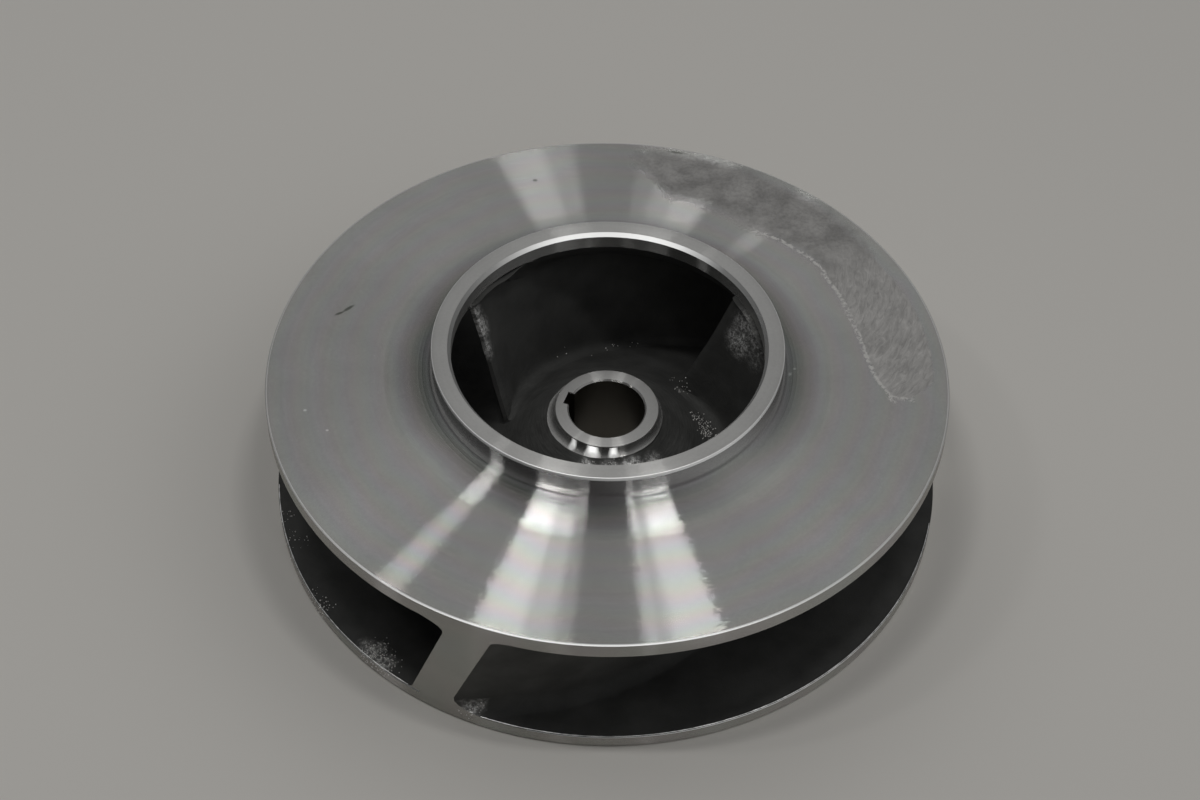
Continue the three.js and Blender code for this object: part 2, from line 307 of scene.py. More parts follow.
# Marks on the front face, dark then light: strength and colour, then centre, half sizes and turn
FACE_MARKS = (
    (0.75, "#55594f", (
        ((-46.8, 157.2), (1.6, 1.3), 0), ((-152.0, 43.5), (4.5, 1.2), 42),
        ((-157.0, 39.5), (3.0, 1.0), 28), ((30.0, 176.0), (5.5, 3.0), 15),
        ((41.0, 186.5), (6.0, 1.1), -10),
    )),
    (1.0, "#f2f1ee", (
        ((-169.4, -36.3), (1.1, 0.9), 0), ((-155.5, -51.4), (1.0, 0.8), 0),
        ((103.7, -6.7), (1.6, 1.0), 60), ((106.5, -2.0), (1.2, 0.8), 40),
    )),
)
# Painted highlight: bright bare patches at the foot of the nose where lamplight strikes: centre, half
# sizes and turn
NOSE_HIGHLIGHT_MARKS = (
    ((-19.7, -25.2), (2.4, 2.6), -40), ((-8.3, -31.4), (4.8, 3.0), -15),
    ((4.4, -32.2), (3.3, 2.9), 8),
)

# Strokes of the hand grinder: radius that they are laid out at, length, width, turn and bend
STROKE_RADIUS = 165.0
STROKE_SIZE = (9.0, 2.4)
STROKE_TURN = 57.0
STROKE_BEND = 1.1
# The patch's outline is ragged: where it was ground last, and at its dull end
GROUND_RAGGED = 0.35
GROUND_SWINGS = (1.0, 4.0)
GROUND_STARTS = (-0.06, -0.31)
GROUND_ENDS = (0.10, 0.60)
GROUND_RELIEF = 0.35
LIP_EDGE = (0.3, 0.7)
SKIN_RELIEF = 0.12

# Bare bright steel, for bare edges and for painted highlight: how far it is rounded up to the light, and
# its roughness
FILED_AND_LIT = (1.2, 0.40)
NOSE_HIGHLIGHT = (2.3, 0.34)
RUBBED_AND_LIT = (0.9, 0.42)
TORN = (1.0, 0.36)
BARE_STEEL_AND_HIGHLIGHT_COLOUR = "#f4f4f2"
REAMED_COLOUR = "#6b6862"
LIP_COLOUR = "#cfcdc9"
# Partly painted light: the lighter skin of the rubbed and lit spots
RUBBED_AND_LIT_COLOUR = "#cbc9c5"
GRIT_COLOUR = "#f1efeb"

# Ceiling lamps: name, place above the floor in metres, width and length, and strength of their face
LAMPS = (
    ("left_lamp", (-0.70, -0.10, 3.0), (0.36, 0.15), 39.0),
    ("left_lamp_dim", (-0.415, -0.10, 3.0), (0.19, 0.15), 23.0),
    ("left_lamp_front", (-0.39, -1.10, 3.0), (0.18, 0.15), 15.0),
    ("right_lamp", (0.62, -0.10, 3.0), (0.36, 0.15), 35.0),
    ("right_lamp_dim", (0.365, -0.10, 3.0), (0.15, 0.15), 17.5),
    ("right_lamp_front", (0.43, -1.10, 3.0), (0.12, 0.15), 19.0),
    ("far_left_lamp", (-1.90, -0.10, 3.0), (0.42, 0.15), 20.0),
)
# Soft light from all round: azimuth, elevation, sharpness and strength of each glow
GLOWS = (
    (2, 45, 14, 0.53), (90, 35, 6, 0.49), (155, 52, 30, 0.23), (315, 35, 6, 0.42),
    (150, 60, 14, 0.30), (45, 35, 6, 0.08),
)
GLOW_COLOUR = (0.985, 0.99, 1.0)
# Camera: turn in degrees, lens and sensor in millimetres; floor in metres
CAMERA_TURN = (42.2337, -0.5394, 0.8557)
CAMERA_LENS = 69.0
CAMERA_SENSOR = 36.0
FLOOR_SIDE = 6.0
FLOOR_GAP = 0.0002


def linear(code):
    """An sRGB hex colour as linear red, green and blue."""
    parts = [int(code[i:i + 2], 16) / 255 for i in (1, 3, 5)]
    return tuple(p / 12.92 if p <= 0.04045 else ((p + 0.055) / 1.055) ** 2.4 for p in parts)


# Properties

class ImpellerSizes(bpy.types.PropertyGroup):
    """Sizes that a user would change."""

    rim_radius: bpy.props.FloatProperty(
        name="Rim radius", description="Outside radius of both shrouds", default=CAD_HIGH.x,
        unit="LENGTH", precision=4)
    ring_top: bpy.props.FloatProperty(
        name="Ring top", description="Height of the eye ring's face above the rear face",
        default=CAD_HIGH.z, unit="LENGTH", precision=4)
    vane_count: bpy.props.IntProperty(
        name="Vanes", description="Number of vanes round the axis", default=3, min=1)
    steps_round: bpy.props.IntProperty(
        name="Steps round", description="Facets round the axis", default=320, min=24)
    relief: bpy.props.FloatProperty(
        name="Cast relief", description="Height of the unevenness that the mould leaves",
        default=0.25 * MM, unit="LENGTH", precision=5)
    relief_width: bpy.props.FloatProperty(
        name="Cast relief width", description="Width of that unevenness",
        default=14 * MM, unit="LENGTH", precision=4)


class ImpellerFinish(bpy.types.PropertyGroup):
    """Colours that a user would change."""

    turned: bpy.props.FloatVectorProperty(
        name="Turned steel", description="Colour of the turned stainless steel",
        default=linear("#c2c1be"), size=3, subtype="COLOR", min=0, max=1)
    ground: bpy.props.FloatVectorProperty(
        name="Ground steel", description="Colour of the hand-ground patch",
        default=linear("#adaba8"), size=3, subtype="COLOR", min=0, max=1)
    cast: bpy.props.FloatVectorProperty(
        name="Cast skin", description="Colour of the casting skin in the passages",
        default=linear("#4e4e4c"), size=3, subtype="COLOR", min=0, max=1)
    floor: bpy.props.FloatVectorProperty(
        name="Floor", description="Colour of the studio floor",
        default=linear("#d8d5cf"), size=3, subtype="COLOR", min=0, max=1)


class ImpellerStage(bpy.types.PropertyGroup):
    """Studio light and camera."""

    lamp_strength: bpy.props.FloatProperty(
        name="Lamps", description="Strength of the ceiling lamps", default=1.0, min=0)
    sky_strength: bpy.props.FloatProperty(
        name="Surroundings", description="Strength of the soft light all round", default=1.0, min=0)
    camera_height: bpy.props.FloatProperty(
        name="Camera height", description="Height of the camera above the floor",
        default=1.05394, unit="LENGTH", precision=4)
    camera_distance: bpy.props.FloatProperty(
        name="Camera distance", description="Distance of the camera from the axis, level",
        default=0.89715, unit="LENGTH", precision=4)


# Node trees

def add_node(tree, kind, *inputs, **settings):
    """A node with its settings. Its inputs, in order or by name, are values, sockets or nodes."""
    node = tree.nodes.new(kind if "Node" in kind else "ShaderNode" + kind)
    for name, value in settings.items():
        setattr(node, name, value)
    by_name = len(inputs) == 1 and isinstance(inputs[0], dict)
    for key, value in inputs[0].items() if by_name else enumerate(inputs):
        if isinstance(value, bpy.types.Node):
            value = next(output for output in value.outputs if output.enabled)
        if isinstance(value, bpy.types.NodeSocket):
            tree.links.new(value, node.inputs[key])
        else:
            node.inputs[key].default_value = value
    return node


def geometry_tree(name, sockets):
    """A geometry tree with these named inputs, what adds its nodes, and its inputs as sockets."""
    tree = bpy.data.node_groups.new(name, "GeometryNodeTree")
    tree.interface.new_socket("Geometry", in_out="INPUT", socket_type="NodeSocketGeometry")
    for label, kind, value in sockets:
        socket = tree.interface.new_socket(label, in_out="INPUT", socket_type="NodeSocket" + kind)
        if value is not None:
            socket.default_value = value
    tree.interface.new_socket("Geometry", in_out="OUTPUT", socket_type="NodeSocketGeometry")
    add = partial(add_node, tree)
    return tree, add, add("NodeGroupInput").outputs


def close_tree(tree, add, given, geometry):
    """Ends a tree in real geometry with its material."""
    real = add("GeometryNodeRealizeInstances", geometry)
    done = add("GeometryNodeSetMaterial", {"Geometry": real, "Material": given["Material"]})
    add("NodeGroupOutput", done)
    return tree


RELIEF_SOCKETS = (
    ("Relief", "Float", 0.0),
    ("Relief Width", "Float", 14 * MM),
    ("Material", "Material", None),
)


def add_relief(add, given, geometry):
    """Uneven cast skin: moves the points along their normals by a soft noise, less at the rims."""
    place = add("GeometryNodeInputPosition")
    per_metre = add("Math", 1.0, given["Relief Width"], operation="DIVIDE")
    lumps = add("TexNoise", {"Vector": place, "Scale": per_metre, "Detail": 3.0, "Roughness": 0.45})
    centred = add("Math", lumps, 0.5, operation="SUBTRACT")
    height = add("Math", centred, given["Relief"], operation="MULTIPLY")
    level = add("VectorMath", place, (1, 1, 0), operation="MULTIPLY")
    radius = add("VectorMath", level, operation="LENGTH")
    fade = add("MapRange", radius, RELIEF_ENDS[0] * MM, RELIEF_ENDS[1] * MM, RELIEF_GAIN, 0.0)
    full = add("Math", height, fade, operation="MULTIPLY")
    normal = add("GeometryNodeInputNormal")
    offset = add("VectorMath", {0: normal, "Scale": full}, operation="SCALE")
    return add("GeometryNodeSetPosition", {"Geometry": geometry, "Offset": offset})


def turned_body_tree():
    """Turns a closed outline about the axis."""
    tree, add, given = geometry_tree("Turned body", (
        ("Steps Round", "Int", 320),
        ("Path Radius", "Float", 100 * MM),
        *RELIEF_SOCKETS,
    ))
    outline = add("GeometryNodeMeshToCurve", given["Geometry"])
    path = add("GeometryNodeCurvePrimitiveCircle",
               {"Resolution": given["Steps Round"], "Radius": given["Path Radius"]})
    body = add("GeometryNodeCurveToMesh", {"Curve": path, "Profile Curve": outline})
    return close_tree(tree, add, given, add_relief(add, given, body))


def round_the_axis_tree():
    """Repeats one vane round the axis."""
    tree, add, given = geometry_tree("Vanes round the axis", (("Count", "Int", 3), *RELIEF_SOCKETS))
    seats = add("GeometryNodeMeshLine", {"Count": given["Count"], "Offset": (0, 0, 0)})
    step = add("Math", -math.tau, given["Count"], operation="DIVIDE")
    turn = add("Math", add("GeometryNodeInputIndex"), step, operation="MULTIPLY")
    copies = add("GeometryNodeInstanceOnPoints",
                 {"Points": seats, "Instance": given["Geometry"],
                  "Rotation": add("CombineXYZ", {"Z": turn})})
    real = add("GeometryNodeRealizeInstances", copies)
    return close_tree(tree, add, given, add_relief(add, given, real))


def grit_tree():
    """Scatters small lumps over a surface where its grit attribute says."""
    tree, add, given = geometry_tree("Grit on a surface", (
        ("Grains Per Square Metre", "Float", 1e5),
        ("Smallest", "Float", 0.2 * MM),
        ("Largest", "Float", 0.6 * MM),
        ("Seed", "Int", 7),
        ("Material", "Material", None),
    ))
    share = add("GeometryNodeInputNamedAttribute", {"Name": "grit"}, data_type="FLOAT")
    density = add("Math", share, given["Grains Per Square Metre"], operation="MULTIPLY")
    seats = add("GeometryNodeDistributePointsOnFaces",
                {"Mesh": given["Geometry"], "Density": density, "Seed": given["Seed"]})
    grain = add("GeometryNodeMeshIcoSphere", {"Radius": 1.0, "Subdivisions": 1})
    size = add("FunctionNodeRandomValue",
               {"Min": given["Smallest"], "Max": given["Largest"], "Seed": given["Seed"]},
               data_type="FLOAT")
    pose = add("FunctionNodeRandomValue",
               {"Min": (0, 0, 0), "Max": (math.tau,) * 3, "Seed": given["Seed"]},
               data_type="FLOAT_VECTOR")
    copies = add("GeometryNodeInstanceOnPoints",
                 {"Points": seats, "Instance": grain, "Rotation": pose, "Scale": size})
    return close_tree(tree, add, given, copies)


def burr_tree():
    """A thin uneven burr along a line."""
    tree, add, given = geometry_tree("Burr along an edge", (
        ("Thickness", "Float", 0.25 * MM),
        ("Unevenness", "Float", 0.3 * MM),
        ("Material", "Material", None),
    ))
    line = add("GeometryNodeMeshToCurve", given["Geometry"])
    place = add("GeometryNodeInputPosition")
    wander = add("TexNoise", {"Vector": place, "Scale": 1 / (BURR_WANDER * MM), "Detail": 2.0})
    centred = add("VectorMath", wander.outputs["Color"], (0.5, 0.5, 0.5), operation="SUBTRACT")
    offset = add("VectorMath", {0: centred, "Scale": given["Unevenness"]}, operation="SCALE")
    moved = add("GeometryNodeSetPosition", {"Geometry": line, "Offset": offset})
    width = add("TexNoise", {"Vector": place, "Scale": 1 / (BURR_SWELL * MM), "Detail": 3.0})
    shaped = add("MapRange", width, 0.38, 0.7, *BURR_WIDTHS)
    section = add("GeometryNodeCurvePrimitiveCircle",
                  {"Resolution": 6, "Radius": given["Thickness"]})
    body = add("GeometryNodeCurveToMesh", {"Curve": moved, "Profile Curve": section,
                                           "Scale": shaped, "Fill Caps": True})
    return close_tree(tree, add, given, body)


# Mesh tools

def mesh_object(name, points, edges=(), faces=()):
    """An object in the scene with this mesh, points in millimetres."""
    mesh = bpy.data.meshes.new(name)
    mesh.from_pydata([tuple(c * MM for c in p) for p in points], edges, faces)
    mesh.update()
    made = bpy.data.objects.new(name, mesh)
    bpy.context.scene.collection.objects.link(made)
    return made


def as_plain_mesh(source, name):
    """The evaluated object as a new object with a plain mesh; the source is removed."""
    graph = bpy.context.evaluated_depsgraph_get()
    mesh = bpy.data.meshes.new_from_object(source.evaluated_get(graph), depsgraph=graph)
    mesh.name = name
    old = source.data
    bpy.data.objects.remove(source)
    bpy.data.meshes.remove(old)
    made = bpy.data.objects.new(name, mesh)
    bpy.context.scene.collection.objects.link(made)
    return made


def through_tree(source, name, tree, values):
    """The object passed through a geometry tree, with its inputs by name."""
    modifier = source.modifiers.new(tree.name, "NODES")
    modifier.node_group = tree
    for item in tree.interface.items_tree:
        if item.item_type == "SOCKET" and item.in_out == "INPUT" and item.name in values:
            modifier[item.identifier] = values[item.name]
    return as_plain_mesh(source, name)


def combine(target, steps, name):
    """Joins, keeps or cuts solids in order, and returns the result."""
    for other, operation in steps:
        modifier = target.modifiers.new(operation, "BOOLEAN")
        modifier.object = other
        modifier.operation = operation
        modifier.solver = "MANIFOLD"
        modifier.material_mode = "TRANSFER"
    made = as_plain_mesh(target, name)
    for other, _ in steps:
        mesh = other.data
        bpy.data.objects.remove(other)
        bpy.data.meshes.remove(mesh)
    return made


def vertex_places(mesh):
    """The mesh's points in millimetres."""
    places = np.empty(len(mesh.vertices) * 3)
    mesh.vertices.foreach_get("co", places)
    return places.reshape(-1, 3) / MM


def move_vertices(mesh, places):
    """Puts the mesh's points at these places, in millimetres."""
    mesh.vertices.foreach_set("co", (places * MM).ravel())
    mesh.update()


def set_attribute(mesh, name, values):
    """A number for each point of the mesh."""
    layer = mesh.attributes.get(name) or mesh.attributes.new(name, "FLOAT", "POINT")
    layer.data.foreach_set("value", np.asarray(values, np.float32))


def smooth_shading(mesh):
    """Smooth faces, with sharp corners where they meet steeply."""
    mesh.shade_smooth()
    mesh.set_sharp_from_angle(angle=SHARP_ANGLE)


def finish_piece(piece):
    """Every piece is part of the one casting and stands for its solid."""
    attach(piece, BODY)
    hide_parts(CASTING_NODE)


# Outlines

def arc(centre, radius, start, end, steps):
    """Points of an arc, angles in degrees from straight outward."""
    angles = np.radians(np.linspace(start, end, steps + 1))
    return [(centre[0] + radius * math.cos(a), centre[1] + radius * math.sin(a)) for a in angles]


def spaced(outline, spacing, face_spacing=None):
    """A closed outline with points added so that none are further apart than the spacing."""
    points = []
    for here, after in zip(outline, outline[1:] + outline[:1]):
        on_face = min(here[0], after[0]) > SHOULDER_RADIUS and min(here[1], after[1]) > ROOF_AT_RIM
        gap = face_spacing if face_spacing and on_face else spacing
        steps = max(1, math.ceil(math.dist(here, after) / gap))
        for step in range(steps):
            share = step / steps
            points.append(tuple(a + (b - a) * share for a, b in zip(here, after)))
    return points


def floor_height(radius):
    """The passage floor: flat near the rim, swept up to the hub."""
    inward = np.maximum(0, FLOOR_SWEEP_RADIUS - radius) / (FLOOR_SWEEP_RADIUS - NOSE_STEP_RADIUS)
    return FLOOR_AT_RIM + (NOSE_STEP_HEIGHT - FLOOR_AT_RIM) * inward ** FLOOR_SWEEP_POWER


def roof_height(radius, rim_radius):
    """The passage roof: a slight cone that turns up into the eye."""
    outward = (radius - ROOF_TURN_CENTRE) / (rim_radius - ROOF_TURN_CENTRE)
    turn_height = EYE_BORE_BOTTOM - ROOF_TURN_RADIUS
    cone = turn_height + (ROOF_AT_RIM - turn_height) * outward
    inward = np.clip(ROOF_TURN_CENTRE - radius, 0, ROOF_TURN_RADIUS)
    turned = EYE_BORE_BOTTOM - np.sqrt(ROOF_TURN_RADIUS ** 2 - inward ** 2)
    return np.where(radius >= ROOF_TURN_CENTRE, cone, turned)


def rear_casting_outline(rim_radius):
    """The rear shroud and the hub as cast, with stock to turn off."""
    stock_radius = rim_radius + MACHINING_STOCK
    sweep = np.arange(FLOOR_SWEEP_RADIUS, NOSE_STOCK_RADIUS, -CAST_SPACING)
    return [
        (BORE_RADIUS - MACHINING_STOCK, -MACHINING_STOCK),
        (stock_radius, -MACHINING_STOCK),
        (stock_radius, FLOOR_AT_RIM),
        *[(r, float(floor_height(r))) for r in sweep],
        (NOSE_STOCK_RADIUS, float(floor_height(NOSE_STOCK_RADIUS))),
        (NOSE_RADIUS + CAST_STEP, NOSE_TOP + MACHINING_STOCK),
        (BORE_RADIUS - MACHINING_STOCK, NOSE_TOP + MACHINING_STOCK),
    ]


def front_casting_outline(rim_radius, ring_top):
    """The front shroud and the ring as cast, with stock to turn off."""
    stock_radius = rim_radius + MACHINING_STOCK
    return [
        (stock_radius, float(roof_height(stock_radius, rim_radius))),
        (stock_radius, FRONT_AT_RIM + MACHINING_STOCK),
        (SHOULDER_RADIUS, hollow_height(SHOULDER_RADIUS) + MACHINING_STOCK),
        (RING_RADIUS + MACHINING_STOCK, ring_top + MACHINING_STOCK),
        (EYE_RADIUS - MACHINING_STOCK, ring_top + MACHINING_STOCK),
        (EYE_RADIUS - MACHINING_STOCK, EYE_BORE_BOTTOM + CAST_STEP),
        *arc((ROOF_TURN_CENTRE, EYE_BORE_BOTTOM), ROOF_TURN_RADIUS, 180, 270, 10),
    ]


def hollow_height(radius):
    """Height of the hollow arc between the cone and the ring."""
    reach = CONE_INNER_RADIUS - radius
    return CONE_INNER_HEIGHT + SHOULDER_ARC_RADIUS - math.sqrt(SHOULDER_ARC_RADIUS ** 2 - reach ** 2)


def shoulder_points():
    """The hollow arc up to the ring, with its tool marks."""
    radii = set(np.linspace(CONE_INNER_RADIUS, SHOULDER_RADIUS, 17))
    marks = {mark + side * TOOL_MARK_HALF_WIDTH for mark in TOOL_MARK_RADII for side in (-1, 0, 1)}
    points = []
    for radius in sorted(radii | marks, reverse=True):
        height = hollow_height(radius)
        if radius in TOOL_MARK_RADII:
            height -= TOOL_MARK_DEPTH
        points.append((float(radius), height))
    return points


def turned_outline(rim_radius, ring_top):
    """What the lathe leaves, from the rear face round to the shaft's bore."""
    fillet_centre = (SHOULDER_RADIUS, hollow_height(SHOULDER_RADIUS) + RING_FILLET_RADIUS)
    nose_corner = NOSE_RADIUS + NOSE_FILLET
    nose_fillet_centre = (nose_corner, NOSE_FILLET_BOTTOM + NOSE_FILLET)
    return [
        (BORE_RADIUS + BORE_CHAMFER, 0),
        (rim_radius - RIM_CHAMFER, 0),
        (rim_radius, RIM_CHAMFER),
        *arc((rim_radius - RIM_CHAMFER, FRONT_AT_RIM - RIM_CHAMFER), RIM_CHAMFER, 0, 88, 4),
        *shoulder_points(),
        *arc(fillet_centre, RING_FILLET_RADIUS, 252, 180, 7),
        *arc((RING_RADIUS - RING_EDGE, ring_top - RING_EDGE), RING_EDGE, 0, 90, 3),
        (RING_MOUTH_RADIUS, ring_top),
        (EYE_RADIUS, ring_top - EYE_CHAMFER_HEIGHT),
        (EYE_RADIUS, EYE_BORE_BOTTOM),
        (nose_corner, EYE_BORE_BOTTOM),
        *arc(nose_fillet_centre, NOSE_FILLET, 270, 180, 9),
        *arc((NOSE_RADIUS - NOSE_EDGE, NOSE_TOP - NOSE_EDGE), NOSE_EDGE, 0, 90, 3),
        (BORE_RADIUS + BORE_CHAMFER, NOSE_TOP),
        (BORE_RADIUS, NOSE_TOP - BORE_CHAMFER),
        (BORE_RADIUS, BORE_CHAMFER),
    ]


def turned_solid(name, outline, spacing, sizes, material, relief=0.0, face_spacing=None):
    """A closed outline turned about the axis."""
    points = spaced(outline, spacing, face_spacing)
    flat = [(radius - PATH_RADIUS, -height, 0) for radius, height in points]
    count = len(flat)
    profile = mesh_object(name + "_outline", flat, [(i, (i + 1) % count) for i in range(count)])
    made = through_tree(profile, name, turned_body_tree(), {
        "Steps Round": sizes.steps_round,
        "Path Radius": PATH_RADIUS * MM,
        "Relief": relief,
        "Relief Width": sizes.relief_width,
        "Material": material,
    })
    return facing_out(made)


def facing_out(made):
    """Turns the faces of a closed mesh outward."""
    mesh = made.data
    mesh.calc_loop_triangles()
    corners = np.empty(len(mesh.loop_triangles) * 3, int)
    mesh.loop_triangles.foreach_get("vertices", corners)
    tri = vertex_places(mesh)[corners.reshape(-1, 3)]
    volume = np.einsum("ij,ij->i", tri[:, 0], np.cross(tri[:, 1], tri[:, 2])).sum()
    if volume < 0:
        mesh.flip_normals()
    return made


# Vanes

def mix(a, b, share):
    """The value this share of the way from a to b."""
    return a + (b - a) * share


def smooth(value, low, high):
    """0 at low and 1 at high, with a soft start and end."""
    share = np.clip((value - low) / (high - low), 0, 1)
    return share * share * (3 - 2 * share)


def sweep_at(wrap):
    """Share of the way out from the leading edge to the rim at a share of the wrap."""
    return SPIRAL_LINEAR_SHARE * wrap + (1 - SPIRAL_LINEAR_SHARE) * wrap ** SPIRAL_POWER


def camber_point(wrap, rise, rim_radius):
    """Centre line of a vane at a share of its wrap and of its height."""
    sweep = sweep_at(wrap)
    hub_radius = mix(HUB_LEAD_RADIUS, rim_radius, sweep)
    front_radius = mix(FRONT_LEAD_RADIUS, rim_radius, sweep)
    hub_azimuth = mix(HUB_LEAD_AZIMUTH, HUB_TRAIL_AZIMUTH, wrap)
    front_azimuth = mix(FRONT_LEAD_AZIMUTH, FRONT_TRAIL_AZIMUTH, wrap)
    bow = LEAD_BOW_AZIMUTH * np.sin(np.pi * rise) * np.maximum(0, 1 - wrap)
    azimuth = np.radians(mix(hub_azimuth, front_azimuth, rise) - bow)
    radius = mix(hub_radius, front_radius, rise)
    return np.array([radius * np.cos(azimuth), radius * np.sin(azimuth)])


def vane_section(wrap, side, rim_radius):
    """Points of one face of a vane, from its root below the floor to its root above the roof."""
    tip = mix(TIP_AT_LEAD, TIP_AFTER, smooth(wrap, 0, TIP_SETTLES_AT))
    hub_height = float(floor_height(mix(HUB_LEAD_RADIUS, rim_radius, sweep_at(wrap))))
    growth = smooth(wrap, 0, FILLET_GROWTH)
    inner = mix(FLOOR_FILLET_INNER, FLOOR_FILLET_AT_RIM, wrap)
    floor_fillet = mix(LEAD_FILLET, inner if side > 0 else FLOOR_FILLET_OUTER, growth)
    roof_fillet = mix(LEAD_FILLET, ROOF_FILLET_INNER if side > 0 else ROOF_FILLET_OUTER, growth)
    nose = max(BLUNT_NOSE, math.sqrt(1 - max(0, 1 - wrap / NOSE_WRAP) ** 2))
    thickness = mix(LEAD_THICKNESS, RIM_THICKNESS, smooth(wrap, 0, THICKENS_OVER))

    def face_point(height, spread):
        rise = float(np.clip((height - hub_height) / (tip - hub_height), 0, 1))
        here = camber_point(wrap, rise, rim_radius)
        ahead = camber_point(wrap + SLOPE_STEP, rise, rim_radius) - here
        ahead /= np.linalg.norm(ahead)
        return here + np.array([ahead[1], -ahead[0]]) * side * (thickness / 2 * nose + spread)

    def spread_at(share):
        return 1 - math.sqrt(1 - (1 - share) ** 2)

    def on_floor(share, lift=0.0):
        point = face_point(hub_height + share * floor_fillet, floor_fillet * spread_at(share))
        height = float(floor_height(math.hypot(*point))) + share * floor_fillet + lift
        return (point[0], point[1], height)

    near = float(roof_height(math.hypot(*face_point(tip, 0)), rim_radius))

    def on_roof(share, lift=0.0):
        point = face_point(near - share * roof_fillet, roof_fillet * spread_at(share))
        radius = max(math.hypot(*point), EYE_RADIUS + CAST_STEP)
        height = float(roof_height(radius, rim_radius)) - share * roof_fillet + lift
        return (point[0], point[1], height)

    low, high = on_floor(1), on_roof(1)
    foot, head = on_floor(0, -ROOT_OVERLAP), on_roof(0, ROOT_OVERLAP)
    shares = [(1 - math.cos(math.pi / 2 * i / FILLET_ROWS)) for i in range(1, FILLET_ROWS)]
    rows = [(foot[0], foot[1], ROOT_DEPTH_HEIGHT), foot]
    rows += [on_floor(share) for share in shares]
    for row in range(WALL_ROWS + 1):
        height = mix(low[2], high[2], row / WALL_ROWS)
        point = face_point(height, 0)
        rows.append((point[0], point[1], height))
    rows += [on_roof(share) for share in reversed(shares)]
    rows += [head, (head[0], head[1], max(tip, head[2] + ROOT_OVERLAP))]
    return rows


def vane_blank(rim_radius):
    """One vane as a closed block from its leading edge to past the rim."""
    points, faces = [], []
    for station in range(VANE_STATIONS + 1):
        wrap = VANE_OVERRUN * (station / VANE_STATIONS) ** STATION_POWER
        points += vane_section(wrap, 1, rim_radius)
        points += reversed(vane_section(wrap, -1, rim_radius))
    round_count = len(points) // (VANE_STATIONS + 1)
    for station in range(VANE_STATIONS):
        for row in range(round_count):
            a = station * round_count + row
            b = station * round_count + (row + 1) % round_count
            faces.append((a, b, b + round_count, a + round_count))
    half = round_count // 2
    for start in (0, VANE_STATIONS * round_count):
        for row in range(half - 1):
            a, b = start + row, start + row + 1
            c, d = start + round_count - 2 - row, start + round_count - 1 - row
            faces.append((a, d, c, b) if start == 0 else (a, b, c, d))
    return mesh_object("vane_blank", points, (), faces)


# Materials, with every length in millimetres

def new_material(name):
    """An empty material, and what adds its nodes."""
    made = bpy.data.materials.new(name)
    made.use_nodes = True
    made.node_tree.nodes.clear()
    return made, partial(add_node, made.node_tree)


def opaque(colour):
    """A colour with its alpha."""
    return (*colour, 1.0)


def lathe_place(add):
    """Where a point lies on the lathe."""
    place = add("VectorMath", {0: add("TexCoord").outputs["Object"], "Scale": 1 / MM},
                operation="SCALE")
    parts = add("SeparateXYZ", place).outputs
    level = add("VectorMath", place, (1, 1, 0), operation="MULTIPLY")
    return SimpleNamespace(
        place=place, y=parts["Y"], height=parts["Z"], level=level,
        radius=add("VectorMath", level, operation="LENGTH"),
        azimuth=add("Math", parts["Y"], parts["X"], operation="ARCTAN2"))


def add_tool_path(add, at):
    """Which way the tool went past the point, what lies across its path, and its grooves."""
    across = add("VectorMath", (0, 0, 1), at.level, operation="CROSS_PRODUCT")
    at.around = add("VectorMath", across, operation="NORMALIZE")
    at.normal = add("NewGeometry").outputs["Normal"]
    at.across = add("VectorMath", at.around, at.normal, operation="CROSS_PRODUCT")
    at.groove = add("CombineXYZ", at.radius, at.height)


def add_patterns(add, at, patterns):
    """Noises that run along the grooves or through the steel, each kept by its name."""
    for name, along, width, detail, roughness in patterns:
        noise = add("TexNoise", {"Vector": getattr(at, along), "Scale": 1 / width,
                                 "Detail": detail, "Roughness": roughness},
                    noise_dimensions="2D" if along == "groove" else "3D")
        setattr(at, name, noise)


def inside(add, at, radii, heights):
    """1 between two radii and two heights, 0 elsewhere."""
    shares = [add("Math", value, (low + high) / 2, (high - low) / 2, operation="COMPARE")
              for value, (low, high) in ((at.radius, radii), (at.height, heights))]
    return add("Math", *shares, operation="MULTIPLY")


def mark(add, place, centre, half_sizes, turn):
    """1 inside a small oval mark seen from above, 0 outside."""
    local = add("Mapping", {"Vector": place, "Location": (*centre, 0),
                            "Rotation": (0, 0, math.radians(turn)),
                            "Scale": (*half_sizes, MARK_HEIGHT)}, vector_type="TEXTURE")
    away = add("VectorMath", local, operation="LENGTH")
    return add("MapRange", away, *MARK_EDGE, 1.0, 0.0)


def leaning_normal(add, normal, *leans):
    """The normal turned a little toward directions, each with its slope."""
    for direction, slope in leans:
        lean = add("VectorMath", {0: direction, "Scale": slope}, operation="SCALE")
        normal = add("VectorMath", normal, lean)
    return add("VectorMath", normal, operation="NORMALIZE")


def bare_steel_and_highlight(add, normal, slope, roughness):
    """Bare bright steel, rounded up to the light by this slope: bare edges, and painted highlight."""
    return add("BsdfPrincipled", {"Base Color": opaque(linear(BARE_STEEL_AND_HIGHLIGHT_COLOUR)), "Metallic": 1.0,
                                  "Roughness": roughness,
                                  "Normal": leaning_normal(add, normal, ((0, 0, 1), slope))})


